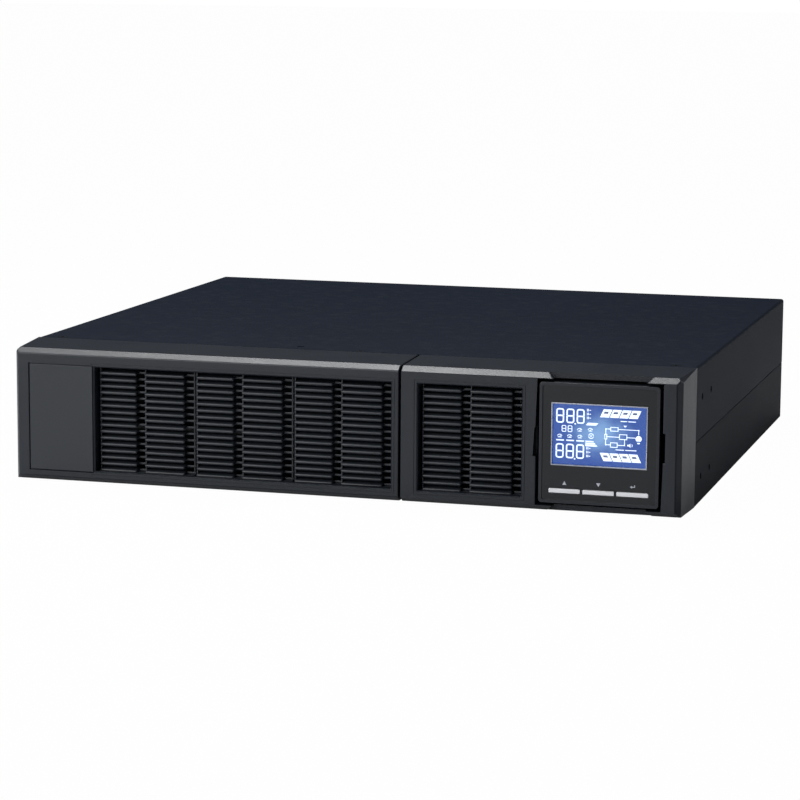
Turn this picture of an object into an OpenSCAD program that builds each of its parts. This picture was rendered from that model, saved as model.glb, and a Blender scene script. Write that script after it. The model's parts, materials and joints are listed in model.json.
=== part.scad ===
// Two-unit rack and tower uninterruptible power supply, 2 kVA class.
// Frame: origin at the centre of the underside, +X to the right seen from the front,
// the front face looks along -Y, +Z is up. Millimetres.

/* [Case] */
// Width over the side walls
case_w = 438; // [430:1:446]
// Height, two rack units less the running gap
case_h = 88; // [88:0.5:92]
// Depth from the front face to the rear edge of the cover
case_d = 410; // [400:5:450]
// Thickness of the folded sheet steel
sheet = 1.2; // [1:0.1:1.5]
// Outer radius of the cover's two bends
bend_r = 1.8; // [1.4:0.1:3]
// Height of the seam between the chassis side and the cover side
seam_z = 41; // [35:1:50]
// Gap left between pieces that slide or lift apart
gap = 0.3; // [0.2:0.05:0.5]
// How far the rear panel lies inside the rear edge of the case
rear_lip = 5; // [4.5:0.5:10]
// Radius of the holes that take the rack ears
ear_hole_r = 2.15; // [1.8:0.05:2.6]
// Distance of the first column of ear holes behind the front face
ear_first = 65.5; // [60:0.5:75]
// Distance between the two columns of ear holes
ear_step_y = 31.5; // [25:0.5:35]
// Height of the lower row of ear holes
ear_low_z = 16.5; // [12:0.5:22]
// Distance between the two rows of ear holes
ear_step_z = 50.5; // [45:0.5:55]

/* [Front bezels] */
// Depth of the plastic front
bezel_d = 45; // [42:1:55]
// Wall of the bezel's top, bottom and ends
bezel_wall = 2.4; // [2:0.1:3]
// Thickness of the front face
face_t = 3; // [2.4:0.1:3.6]
// How much each side draws in towards the front
bezel_draft = 1.2; // [0.6:0.1:1.8]
// Depth of the chamfer round the front face
chamfer_d = 4.5; // [3:0.5:6]
// Height of the chamfer round the front face
chamfer_h = 3; // [2:0.1:3]
// Leg of the corner bevel where it meets the front face
corner_bevel = 3; // [2:0.5:4]
// Distance from the left grille's end to the joint between the two bezels
split_margin = 5.6; // [4:0.1:7]
// Width of that joint
split_gap = 1.4; // [1:0.1:2]
// Left edge of the bare name panel, from the left end of the front
panel_inset = 12; // [10:0.5:16]
// Width of the rib between the name panel and the grille
panel_rib = 0.9; // [0.8:0.1:2]
// How much taller than the grille the name panel is
panel_over = 1.2; // [0:0.1:1.6]
// Thickness of the name panel
panel_t = 1.4; // [1:0.1:1.6]
// Width of the groove round the name panel
panel_groove = 0.6; // [0.4:0.1:1]

/* [Air grilles] */
// Left edge of the battery bezel's grille, from the left end of the front
grille_inset = 56.7; // [55:0.1:59]
// Distance from the joint between the bezels to the main bezel's grille
grille_margin = 11.7; // [10:0.1:13]
// Bottom edge of both grilles
grille_low = 9; // [8:0.5:12]
// Space over both grilles
grille_over = 11.6; // [10:0.1:14]
// Space between two louvre inserts
insert_space = 1.9; // [1.2:0.1:2.5]
// Space between the grille's edge and the first insert
insert_margin = 1.25; // [1:0.05:1.5]
// How far the slats lie behind the front face
slat_recess = 5; // [4:0.5:7]
// Number of slats in one column
slat_count = 16; // [10:1:16]
// Thickness of a slat's rounded nose as a share of the slats' spacing
slat_share = 0.55; // [0.45:0.01:0.6]
// Depth of a slat
slat_d = 6; // [4:0.5:8]
// Rise of a slat towards its back
slat_rise = 1.2; // [0.4:0.1:1.6]
// Height of the lowest slat's centre over the grille's bottom edge
slat_first = 0.2; // [0:0.1:1]
// Width of an upright bar of the insert
upright_w = 1.3; // [1:0.1:2]
// Length of the left column of slats as a share of the insert's width
column_share = 0.4; // [0.35:0.01:0.41]
// Space between the two columns of slats
column_space = 5.2; // [4.8:0.1:6]
// Space between the right column and the insert's end
column_end = 5.7; // [4:0.1:8]

/* [Display module] */
// How much lower than the case the square display module is
lcd_less = 13; // [12.5:0.5:16]
// Centre of the display module from the right end of the front
lcd_inset = 51.9; // [50:0.1:54]
// Space between the display module's pocket and the grille beside it
lcd_margin = 9.1; // [8:0.1:11]
// Gap between the module and its pocket
lcd_gap = 1.9; // [1.2:0.1:2]
// Depth of the module's housing
lcd_d = 20; // [18:1:24]
// Width of the raised rim
rim_w = 2; // [1.5:0.1:2.5]
// Height of the raised rim
rim_h = 0.6; // [0.4:0.1:1]
// Wall of the module's housing
lcd_wall = 2; // [1.5:0.1:2.5]
// Width of the display window as a share of the module's side
window_share_w = 0.8; // [0.7:0.01:0.82]
// Height of the display window as a share of the module's side
window_share_h = 0.52; // [0.44:0.01:0.53]
// Height of the window's centre over the module's centre
window_up = 5.6; // [4:0.1:7]
// Width of the bright trim round the window
trim_w = 0.8; // [0.5:0.1:1.2]
// Distance from the module's side to the first push button
button_inset = 6.5; // [6.5:0.1:9]
// Height of a push button
button_h = 2.7; // [2.4:0.1:4]
// Space between two push buttons
button_space = 1.6; // [1.6:0.1:3]
// Distance of the buttons' centre line over the module's lower edge
button_up = 7.8; // [7.6:0.1:9]
// Travel of a push button
button_travel = 0.5; // [0.3:0.1:0.8]
// Clear slot round a push button
button_slot = 0.2; // [0.15:0.05:0.3]

/* [Battery pack] */
// Depth of the case that the two rows of batteries leave free
pack_rest_d = 108; // [104:1:114]
// Width of the case that the two columns of batteries leave free
pack_rest_w = 250; // [248:1:258]
// Height of the case that the batteries leave free
pack_rest_h = 23; // [22:1:28]
// Height of a terminal blade
blade_h = 6; // [5:0.5:6.5]
// Space between the batteries' tops and between rows
cell_space = 0.5; // [0.5:0.1:1]
// Space between the two rows of terminals
lead_space = 12; // [12:1:16]
// Height of the tray's side walls
tray_wall_h = 26; // [20:1:40]
// Space beside the tray in its bay
bay_side = 0.8; // [0.5:0.1:1.5]
// Width of the tray's pull handle
handle_w = 96; // [80:1:120]
// Reach of the pull handle in front of the tray
handle_d = 20; // [18:1:24]
// Radius of the pull handle's bar
handle_r = 3.5; // [3:0.5:4]

/* [Fans] */
// How much lower than the case a square fan frame is
fan_less = 8; // [8:0.5:9]
// Thickness of the fan frame
fan_t = 25; // [20:1:27]
// Wall of the fan frame round its air passage
fan_wall = 2; // [1.5:0.5:4]
// Radius of the rotor's hub
hub_r = 18; // [16:0.5:20]
// Number of blades
blade_count = 7; // [5:1:9]
// Gap between the blade tips and the frame
tip_gap = 0.7; // [0.5:0.1:1.5]
// Distance of the mounting holes from the frame's edge
fan_hole_inset = 4.25; // [4:0.05:5]
// Space between the two fans
fan_space = 2; // [1:0.5:4]
// Thickness of the guard's wire
wire = 1.5; // [1.2:0.1:1.8]

/* [Rear sockets] */
// Width beside the fans for which the widths below are given
socket_room = 274; // [270:1:280]
// Width of an outlet's flange
outlet_w = 35; // [34:0.5:36]
// How much lower than half of the case an outlet's flange is
outlet_less = 16.4; // [16:0.2:18]
// Distance from one outlet to the next in a row
outlet_step = 37; // [36.5:0.5:38]
// Height of the case over the distance between the two rows of outlets
outlet_rest = 52; // [50:1:56]
// Place of the first outlet from the left end
outlet_first = 26; // [24:0.5:28]
// Depth of an outlet behind the panel
outlet_d = 27; // [24:1:28]
// Width of the power inlet's flange
inlet_w = 44; // [42:0.5:46]
// How much lower than the case the power inlet's flange is
inlet_less = 56; // [54:0.5:57]
// Flange of the power inlet on both sides of its cavity
inlet_rim_w = 9.4; // [9:0.1:10]
// Flange of the power inlet over and under its cavity
inlet_rim_h = 7.4; // [7:0.1:8]
// Depth of the power inlet's cavity
inlet_cavity_d = 17; // [16:0.5:18]
// Space between the power inlet and the right end
inlet_end = 7; // [6:0.5:8]
// Space between the power inlet and the fan beside it
inlet_space = 6; // [5:0.5:7]
// Radius of the circuit breaker's reset button
reset_r = 4.8; // [4:0.1:5.5]
// Travel of the reset button when the breaker trips
reset_travel = 3; // [2:0.5:4]

/* [Electronics] */
// Thickness of the circuit boards
board_t = 1.6; // [1.2:0.2:2]
// Height of the stand-offs under the main board
standoff_h = 8; // [6:0.5:10]
// Space between the main board and the chassis side
board_side = 20.4; // [18:0.1:24]
// Depth of the case that the main board leaves free
board_rest = 110; // [106:1:130]
// Height of the case that the heat sinks leave free
sink_rest = 30; // [24:1:40]
// Number of fins on a heat sink
fin_count = 9; // [6:1:10]

/* [Hidden] */
$fn = 48;

// ---- planes of the case ----
half_w = case_w / 2;
front_y = -case_d / 2;
rear_y = case_d / 2;
metal_y = front_y + bezel_d;
panel_y = rear_y - rear_lip;
side_step = sheet + gap;
inner_x = half_w - side_step - sheet;
deck_z = case_h - sheet - gap;
plate_half = inner_x - gap;

// ---- sizes that follow the case ----
lcd_s = case_h - lcd_less;
lcd_x = half_w - lcd_inset;
lcd_z = case_h / 2;
pocket_half = lcd_s / 2 + lcd_gap;
insert_w = (case_w - grille_inset - 4 * insert_margin - 2 * insert_space - split_margin - grille_margin
    - lcd_margin - pocket_half - lcd_inset) / 4;
insert_step = insert_w + insert_space;
grille_left = grille_inset - half_w;
grille_left_end = grille_left + 2 * insert_margin + 2 * insert_step + insert_w;
split_x = grille_left_end + split_margin;
grille_right = split_x + grille_margin;
grille_right_end = grille_right + 2 * insert_margin + insert_w;
grille_h = case_h - grille_low - grille_over;
grille_top = grille_low + grille_h;
panel_h = grille_h + panel_over;
slat_step = (grille_h - slat_first) / slat_count;
slat_h = slat_step * slat_share;
column_a = insert_w * column_share;
column_b = column_a + column_space;
column_b_end = insert_w - column_end;
window_w = lcd_s * window_share_w;
window_h = lcd_s * window_share_h;
button_w = (lcd_s - 2 * button_inset - 2 * button_space) / 3;
button_step = button_w + button_space;
cell_l = (case_d - pack_rest_d) / 2;
cell_h = (case_w - pack_rest_w) / 2;
cell_t = case_h - pack_rest_h;
fan_s = case_h - fan_less;
fan_bore_r = fan_s / 2 - fan_wall;
fan_hole_step = fan_s - 2 * fan_hole_inset;
fan_step = fan_s + fan_space;
fit = (case_w - 2 * fan_step) / socket_room;
board_l = case_d - board_rest;
sink_h = case_h - sink_rest;
sink_l = board_l / 2;

// ---- colours ----
cover_grey = [0.16, 0.18, 0.21];
chassis_grey = [0.10, 0.11, 0.13];
bezel_grey = [0.20, 0.21, 0.23];
insert_grey = [0.28, 0.29, 0.31];
black = [0.05, 0.05, 0.06];
zinc = [0.72, 0.73, 0.74];
copper = [0.72, 0.42, 0.22];
board_green = [0.08, 0.30, 0.16];

// ---- helpers ----
// Block between two opposite corners
module block(a, b) {
    translate(a) cube(b - a);
}

// Profile in Y and Z drawn out along X
module along_x(x0, x1) {
    translate([x0, 0, 0]) rotate([90, 0, 90]) linear_extrude(x1 - x0) children();
}

// Profile in X and Z drawn out along Y
module along_y(y0, y1) {
    translate([0, y1, 0]) rotate([90, 0, 0]) linear_extrude(y1 - y0) children();
}

// Profile in X and Y drawn out along Z
module along_z(z0, z1) {
    translate([0, 0, z0]) linear_extrude(z1 - z0) children();
}

// Round bar or bore along each axis, from its first to its last coordinate
module bar_x(y, z, x0, x1, r) {
    translate([x0, y, z]) rotate([0, 90, 0]) cylinder(h = x1 - x0, r = r);
}

module bar_y(x, z, y0, y1, r) {
    translate([x, y1, z]) rotate([90, 0, 0]) cylinder(h = y1 - y0, r = r);
}

module bar_z(x, y, z0, z1, r) {
    translate([x, y, z0]) cylinder(h = z1 - z0, r = r);
}

function arc_points(c, r, a0, a1, steps = 4) =
    [for (i = [0:steps]) let (a = a0 + (a1 - a0) * i / steps) c + r * [cos(a), sin(a)]];

// Rectangle about a centre, with rounded corners
function soft_rect(c, w, h, r) = concat(
    arc_points(c + [w / 2 - r, h / 2 - r], r, 0, 90),
    arc_points(c + [r - w / 2, h / 2 - r], r, 90, 180),
    arc_points(c + [r - w / 2, r - h / 2], r, 180, 270),
    arc_points(c + [w / 2 - r, r - h / 2], r, 270, 360));

// Rectangle about a centre, with its two upper corners cut off
function key_rect(c, w, h, cut) = [for (p = [[-w / 2, -h / 2], [w / 2, -h / 2],
    [w / 2, h / 2 - cut], [w / 2 - cut, h / 2], [cut - w / 2, h / 2], [-w / 2, h / 2 - cut]]) c + p];

module both_sides() {
    for (s = [0, 1]) mirror([s, 0, 0]) children();
}

// ---- steel case ----
ear_y = [for (i = [0, 1]) front_y + ear_first + i * ear_step_y];
ear_z = [for (i = [0, 1]) ear_low_z + i * ear_step_z];
nut_r = 4;
nut_h = 2;
flange = 12;
wing = 16;
screw_r = 1.6;
head_r = 3;
head_t = 0.9;
top_screw_y = metal_y + 5;
top_screws = [[-half_w + 14.5, top_screw_y], [0, top_screw_y], [half_w - 14.5, top_screw_y]];
rear_screw_z = deck_z - head_r - 0.2;
dimple = [-half_w * 0.19, metal_y + 10.4];
dimple_r = 2.2;

// Section of one chassis side: flush wall, joggle, wall behind the cover and top flange
module chassis_side() {
    step_z = seam_z - gap / 2;
    polygon([[half_w, 0], [half_w, step_z], [half_w - side_step, step_z], [half_w - side_step, deck_z],
        [inner_x - wing, deck_z], [inner_x - wing, deck_z - sheet], [inner_x, deck_z - sheet],
        [inner_x, step_z - sheet], [half_w - sheet, step_z - sheet], [half_w - sheet, 0]]);
}

// Notches in the corners of a plate that clear the top flanges of the chassis sides
module wing_notches(y0, y1) {
    both_sides() block([inner_x - wing - gap, y0, deck_z - sheet - gap], [half_w, y1, case_h]);
}

module ear_holes() {
    both_sides() for (y = ear_y) for (z = ear_z) bar_x(y, z, half_w - 8, half_w + 1, ear_hole_r);
}

module base_chassis() {
    color(chassis_grey) difference() {
        union() {
            block([-half_w, metal_y, 0], [half_w, rear_y, sheet]);
            along_y(metal_y, rear_y) chassis_side();
            along_y(metal_y, rear_y) mirror([1, 0]) chassis_side();
        }
        ear_holes();
        both_sides() bar_z(half_w - 14.5, top_screw_y, deck_z - 5, deck_z + 1, screw_r);
    }
}

// Outline of the cover seen from the front, drawn in by an inset, with bent upper corners
function cover_section(inset, low) = let (side = half_w - inset, r = bend_r - inset) concat([[side, low]],
    arc_points([side - r, case_h - inset - r], r, 0, 90), arc_points([r - side, case_h - inset - r], r, 90, 180),
    [[-side, low]]);

module top_cover() {
    color(cover_grey) difference() {
        along_y(metal_y, rear_y) polygon(cover_section(0, seam_z + gap / 2));
        along_y(metal_y - 1, rear_y + 1) polygon(cover_section(sheet, 0));
        ear_holes();
        for (p = top_screws) {
            bar_z(p[0], p[1], case_h - 5, case_h + 1, screw_r);
            bar_z(p[0], p[1], case_h - head_t, case_h + 1, head_r + 0.2);
        }
        bar_z(dimple[0], dimple[1], case_h - 0.4, case_h + 1, dimple_r);
    }
}

module ear_nuts() {
    color(zinc) both_sides() for (y = ear_y) for (z = ear_z) {
        wall = z > seam_z ? inner_x : half_w - sheet;
        difference() {
            bar_x(y, z, wall - nut_h, wall, nut_r);
            bar_x(y, z, wall - nut_h - 1, wall + 1, ear_hole_r);
        }
    }
}

// Pan head with a cross recess, and its shank, pointing up from the surface it holds
module screw(shank) {
    difference() {
        union() {
            cylinder(h = head_t, r = head_r);
            translate([0, 0, -shank]) cylinder(h = shank + 0.1, r = screw_r - 0.1);
        }
        for (a = [0, 90]) rotate(a) translate([-head_r * 0.6, -0.35, head_t / 2])
            cube([head_r * 1.2, 0.7, head_t]);
    }
}

module case_screws() {
    color(black) {
        for (p = top_screws) translate([p[0], p[1], case_h - head_t]) screw(5);
        for (x = rear_screw_x) translate([x, panel_y, rear_screw_z]) rotate([-90, 0, 0]) screw(4);
    }
}

// ---- rear panel and what it carries ----
fan_z = (sheet + deck_z) / 2;
fan_edge = half_w - (inlet_end + inlet_w + inlet_space) * fit;
fan_xs = [for (i = [1, 0]) fan_edge - fan_s / 2 - i * fan_step];
flange_w = outlet_w * fit;
flange_h = case_h / 2 - outlet_less;
outlet_xs = [for (i = [0:3]) (outlet_first + i * outlet_step) * fit - half_w];
outlet_zs = [for (s = [-1, 1]) case_h / 2 + s * (case_h - outlet_rest) / 2];
outlet_flange = 1.6;
moat_rim_w = 5.4;
moat_rim_h = 6.2;
outlet_body_w = flange_w - 3.4;
outlet_body_h = flange_h - 3.6;
inlet_flange_w = inlet_w * fit;
inlet_flange_h = case_h - inlet_less;
inlet_x = half_w - inlet_end * fit - inlet_flange_w / 2;
inlet_z = sheet + 6.8 + inlet_flange_h / 2;
inlet_body_w = inlet_flange_w - 4;
inlet_body_h = inlet_flange_h - 3;
inlet_cavity_w = inlet_flange_w - inlet_rim_w;
inlet_cavity_h = inlet_flange_h - inlet_rim_h;
inlet_back = 3;
breaker_x = inlet_x - 10 * fit;
breaker_z = inlet_z + inlet_flange_h / 2 + 12;
breaker_nut_r = 7.5;
breaker_nut_t = 2.2;
bush_r = 6;
dc_w = 36 * fit;
dc_h = 15;
dc_x = inlet_x;
dc_z = breaker_z + breaker_nut_r + 1.5 + dc_h / 2;
dc_proud = 3;
ports_left = outlet_xs[3] + flange_w / 2;
ports_x = (ports_left + fan_xs[0] - fan_s / 2) / 2;
slot_w = 56 * fit;
slot_h = case_h - 59;
slot_z = case_h - 8.5 - slot_h / 2;
serial_x = ports_x - 12 * fit;
usb_x = ports_x + 17 * fit;
signal_z = 38;
surge_x = ports_x - 10 * fit;
epo_x = ports_x + 18 * fit;
low_z = 15;
d_shell_w = 17;
d_shell_h = 8.6;
d_flange_w = 31;
usb_w = 12;
usb_h = 11;
surge_w = 32;
surge_h = 14.4;
epo_w = 14;
epo_h = 10;
rear_screw_edge = inner_x - wing - head_r - 1;
rear_screw_x = [-rear_screw_edge, ports_left + head_r, fan_edge + head_r + 0.5, rear_screw_edge];

module fan_screw_places(x) {
    for (sx = [-1, 1]) for (sz = [-1, 1])
        translate([x + sx * fan_hole_step / 2, 0, fan_z + sz * fan_hole_step / 2]) children();
}

// Cut-out in the rear panel for a rectangular body, with a clear edge
module panel_cut(x, z, w, h) {
    block([x - w / 2 - gap, panel_y - sheet - 1, z - h / 2 - gap], [x + w / 2 + gap, panel_y + 1, z + h / 2 + gap]);
}

module rear_panel() {
    color(cover_grey) difference() {
        union() {
            block([-plate_half, panel_y - sheet, sheet], [plate_half, panel_y, deck_z]);
            for (z = [sheet, deck_z - sheet])
                block([-inner_x + wing + gap, panel_y - flange, z], [inner_x - wing - gap, panel_y, z + sheet]);
        }
        for (x = fan_xs) {
            bar_y(x, fan_z, panel_y - sheet - 1, panel_y + 1, fan_bore_r);
            fan_screw_places(x) bar_y(0, 0, panel_y - sheet - 1, panel_y + 1, 2.2);
            block([x - fan_s / 2 - gap, panel_y - flange - 1, 0], [x + fan_s / 2 + gap, panel_y - sheet, case_h]);
        }
        wing_notches(panel_y - flange - 1, panel_y + 1);
        for (x = outlet_xs) for (z = outlet_zs) panel_cut(x, z, outlet_body_w, outlet_body_h);
        for (x = rear_screw_x) bar_y(x, rear_screw_z, panel_y - flange - 1, panel_y + 1, screw_r);
        panel_cut(inlet_x, inlet_z, inlet_body_w, inlet_body_h);
        bar_y(breaker_x, breaker_z, panel_y - sheet - 1, panel_y + 1, bush_r + 0.1);
        panel_cut(dc_x, dc_z, dc_w, dc_h);
        panel_cut(ports_x, slot_z, slot_w - 12, slot_h - 5);
        panel_cut(serial_x, signal_z, d_shell_w + 2, d_shell_h + 2);
        panel_cut(usb_x, signal_z, usb_w, usb_h);
        panel_cut(surge_x, low_z, surge_w, surge_h);
        panel_cut(epo_x, low_z, epo_w, epo_h);
    }
}

// Outlet with a moat for the plug's shroud round a core with three slots
module outlet(x, z) {
    face = panel_y + outlet_flange;
    difference() {
        union() {
            along_y(panel_y, face) polygon(soft_rect([x, z], flange_w, flange_h, 2));
            along_y(panel_y - outlet_d, panel_y) polygon(soft_rect([x, z], outlet_body_w, outlet_body_h, 1));
        }
        along_y(face - 16, face + 1) difference() {
            polygon(key_rect([x, z], flange_w - moat_rim_w, flange_h - moat_rim_h, 4.5));
            polygon(key_rect([x, z], flange_w - 2 * moat_rim_w, flange_h - 2 * moat_rim_h + 1, 3.6));
        }
        for (slot = [[-7, -2], [0, 2], [7, -2]])
            translate([x + slot[0] - 1.3, face - 18, z + slot[1] - 2.4]) cube([2.6, 19, 4.8]);
    }
}

module outlets() {
    color(black) for (x = outlet_xs) for (z = outlet_zs) outlet(x, z);
}

module ac_inlet() {
    face = panel_y + 2.4;
    back = face - inlet_cavity_d - inlet_back;
    color(black) difference() {
        union() {
            along_y(panel_y, face) polygon(soft_rect([inlet_x, inlet_z], inlet_flange_w, inlet_flange_h, 3));
            along_y(back, panel_y) polygon(soft_rect([inlet_x, inlet_z], inlet_body_w, inlet_body_h, 1.5));
        }
        along_y(face - inlet_cavity_d, face + 1)
            polygon(key_rect([inlet_x, inlet_z], inlet_cavity_w, inlet_cavity_h, 5));
        for (p = blade_places) blade_block(p, back - 1, face, 0);
    }
}

// Flat blades: live, neutral and earth
blade_places = [[-6.5, -4], [0, 4], [6.5, -4]];

module blade_block(p, y0, y1, clear) {
    block([inlet_x + p[0] - 4 + clear, y0, inlet_z + p[1] - 1 + clear],
        [inlet_x + p[0] + 4 - clear, y1, inlet_z + p[1] + 1 - clear]);
}

module inlet_blades() {
    tip = panel_y + 2.4 - 2;
    color(zinc) for (p = blade_places)
        blade_block(p, panel_y + 2.4 - inlet_cavity_d - inlet_back - 8, tip, 0);
}

module breaker_body() {
    color(black) difference() {
        union() {
            block([breaker_x - 7, panel_y - 32, breaker_z - 9], [breaker_x + 7, panel_y - sheet, breaker_z + 9]);
            bar_y(breaker_x, breaker_z, panel_y - sheet - 1, panel_y + breaker_nut_t, bush_r);
            bar_y(breaker_x, breaker_z, panel_y, panel_y + breaker_nut_t, breaker_nut_r);
        }
        bar_y(breaker_x, breaker_z, panel_y - 7, panel_y + breaker_nut_t + 1, reset_r + 0.08);
    }
}

module breaker_button() {
    color("gainsboro") translate([breaker_x, panel_y + breaker_nut_t + 1, breaker_z]) rotate([90, 0, 0])
        rotate_extrude() polygon([[0, 0], [reset_r - 0.8, 0], [reset_r, 0.8], [reset_r, 9], [0, 9]]);
}

module dc_connector() {
    color(black) difference() {
        along_y(panel_y - 22, panel_y + dc_proud) polygon(soft_rect([dc_x, dc_z], dc_w, dc_h, 1.5));
        for (s = [-1, 1]) along_y(panel_y - 14, panel_y + dc_proud + 1)
            polygon(soft_rect([dc_x + s * dc_w / 4, dc_z], dc_w / 2 - 5, dc_h - 5, 1));
    }
}

module serial_port() {
    face = panel_y + 4;
    function d_shape(w, h) = [for (p = [[-w / 2 + 1.2, -h / 2], [w / 2 - 1.2, -h / 2], [w / 2, h / 2],
        [-w / 2, h / 2]]) [serial_x, signal_z] + p];
    difference() {
        union() {
            along_y(panel_y, panel_y + 0.8) polygon(soft_rect([serial_x, signal_z], d_flange_w, 12.6, 1.5));
            along_y(panel_y - 10, face) polygon(d_shape(d_shell_w, d_shell_h));
            for (s = [-1, 1]) bar_y(serial_x + s * 12.5, signal_z, panel_y, face - 0.2, 2.4, $fn = 6);
        }
        along_y(face - 3, face + 1) difference() {
            polygon(d_shape(d_shell_w - 1, d_shell_h - 1));
            polygon(d_shape(d_shell_w - 2.4, d_shell_h - 2.4));
        }
        for (row = [0, 1]) for (i = [0:4 - row])
            bar_y(serial_x + (i - 2 + row / 2) * 2.76, signal_z + 1.4 - row * 2.8, face - 5, face + 1, 0.6);
    }
}

module usb_port() {
    front = panel_y + 0.8;
    difference() {
        along_y(panel_y - 15, front) polygon(soft_rect([usb_x, signal_z], usb_w, usb_h, 1));
        along_y(front - 10, front + 1) difference() {
            polygon(key_rect([usb_x, signal_z], 8.6, 8, 1.8));
            polygon(soft_rect([usb_x, signal_z], 5.6, 3.2, 0.4));
        }
    }
}

module signal_ports() {
    color(zinc) {
        serial_port();
        usb_port();
    }
}

// Pair of eight-pole jacks, each a cavity with a notch for the latch
module surge_ports() {
    face = panel_y + 1.4;
    color(black) difference() {
        along_y(panel_y - 15, face) polygon(soft_rect([surge_x, low_z], surge_w, surge_h, 0.8));
        for (s = [-1, 1]) translate([surge_x + s * surge_w / 4, 0, low_z]) {
            along_y(face - 13, face + 1) translate([-5.9, -4.4]) square([11.8, 7.8]);
            along_y(face - 13, face + 1) translate([-3, -5.8]) square([6, 4]);
        }
    }
}

module epo_terminal() {
    color("seagreen") difference() {
        block([epo_x - epo_w / 2, panel_y - 12, low_z - epo_h / 2], [epo_x + epo_w / 2, panel_y + 3, low_z + epo_h / 2]);
        for (s = [-1, 1]) {
            translate([epo_x + s * 3 - 1.4, panel_y - 6, low_z - 3.4]) cube([2.8, 10, 2.8]);
            bar_y(epo_x + s * 3, low_z + 2.2, panel_y + 1, panel_y + 4, 1.5);
        }
    }
}

// Blank plate over the card slot, held by two thumb screws
module slot_cover() {
    plate_t = 1.2;
    color(zinc) union() {
        along_y(panel_y, panel_y + plate_t) polygon(soft_rect([ports_x, slot_z], slot_w, slot_h, 1.5));
        for (s = [-1, 1]) bar_y(ports_x + s * (slot_w / 2 - 4), slot_z, panel_y, panel_y + plate_t + 2.6, 3.2);
    }
}

// ---- fans ----
fan_back = panel_y - sheet;
fan_front = fan_back - fan_t;
motor_t = 3;
blade_run = 16;

module fan_frame(x) {
    rim = 4;
    color(black) difference() {
        union() {
            for (y = [fan_front, fan_back - rim]) along_y(y, y + rim)
                polygon(soft_rect([x, fan_z], fan_s, fan_s, 5));
            bar_y(x, fan_z, fan_front, fan_back, fan_bore_r + 1.6);
        }
        bar_y(x, fan_z, fan_front + motor_t, fan_back + 1, fan_bore_r);
        along_y(fan_front - 1, fan_front + motor_t) difference() {
            translate([x, fan_z]) circle(fan_bore_r);
            translate([x, fan_z]) circle(hub_r);
            translate([x, fan_z]) for (a = [45:90:315]) rotate(a) translate([hub_r - 2, -2]) square([fan_bore_r, 4]);
        }
        fan_screw_places(x) bar_y(0, 0, fan_front - 1, fan_back + 1, 2.15);
    }
}

module fan_frame_inner() { fan_frame(fan_xs[0]); }

module fan_frame_outer() { fan_frame(fan_xs[1]); }

// Hub cup with pitched blades: each blade is a sloped slab cut to the ring between hub and tips
module fan_rotor(x) {
    y0 = fan_front + motor_t + gap;
    tip_r = fan_bore_r - tip_gap;
    color([0.12, 0.12, 0.13]) translate([x, y0, fan_z]) rotate([-90, 0, 0]) {
        cylinder(h = fan_t - motor_t - gap - 1, r = hub_r);
        intersection() {
            translate([0, 0, 1]) difference() {
                cylinder(h = blade_run, r = tip_r);
                translate([0, 0, -1]) cylinder(h = blade_run + 2, r = hub_r - 0.5);
            }
            for (i = [0:blade_count - 1]) rotate(i * 360 / blade_count)
                translate([hub_r - 1, 0, 1 + blade_run / 2]) rotate([48, 0, 0])
                    translate([0, -blade_run, -0.8]) cube([tip_r, 2 * blade_run, 1.6]);
        }
    }
}

module fan_rotor_inner() { fan_rotor(fan_xs[0]); }

module fan_rotor_outer() { fan_rotor(fan_xs[1]); }

// Finger guard: rings on a cross of wires, with an eye at each fixing screw
module fan_guard(x) {
    ring_r = [for (r = [hub_r - 6:6.4:fan_bore_r - 1]) r];
    reach = fan_hole_step / sqrt(2);
    color(zinc) {
        for (r = ring_r) translate([x, panel_y + wire + gap, fan_z]) rotate([-90, 0, 0]) difference() {
            cylinder(h = wire, r = r + wire / 2);
            translate([0, 0, -1]) cylinder(h = wire + 2, r = r - wire / 2);
        }
        for (a = [45, 135]) translate([x, panel_y + gap, fan_z]) rotate([0, a, 0])
            translate([-reach, 0, -wire / 2]) cube([2 * reach, wire, wire]);
        fan_screw_places(x) bar_y(0, 0, panel_y, panel_y + wire + gap, 3.6);
    }
}

module fan_guard_inner() { fan_guard(fan_xs[0]); }

module fan_guard_outer() { fan_guard(fan_xs[1]); }

// ---- battery bay and pack ----
pack_x0 = -inner_x + bay_side;
row_w = cell_h + cell_space;
tray_x1 = pack_x0 + 2 * (sheet + row_w) + lead_space;
bay_x1 = tray_x1 + bay_side;
tray_z0 = sheet + gap;
cell_z0 = tray_z0 + sheet;
tray_front = metal_y - sheet - gap;
cell_y0 = tray_front + sheet + cell_space;
tray_back = cell_y0 + 2 * (cell_l + cell_space);
plug_d = 13;
plug_w = 34;
plug_h = 16;
plug_x = pack_x0 + sheet + row_w + lead_space / 2;
plug_z = cell_z0 + 22;
bay_back = tray_back + sheet + plug_d + 3;
bay_top = cell_z0 + cell_t + 4;
tray_top = bay_top + 10;
tray_screw_x = [pack_x0 + 30, tray_x1 - 30];
tray_screw_z = (bay_top + tray_top) / 2;
handle_x = (pack_x0 + tray_x1) / 2;
handle_z = cell_z0 + cell_t / 2;
clip_w = 12;
clip_t = 2;
clip_reach = 6;
clip_gap = 0.5;
clip_low = bezel_wall + 1;
clip_high = case_h - bezel_wall - 1 - clip_t;
pack_clips = [[-half_w + 30, clip_high], [split_x - 20, clip_high], [split_x - 20, clip_low]];
main_clips = [for (x = [split_x + 10, half_w - 30]) for (z = [clip_low, clip_high]) [x, z]];

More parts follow.
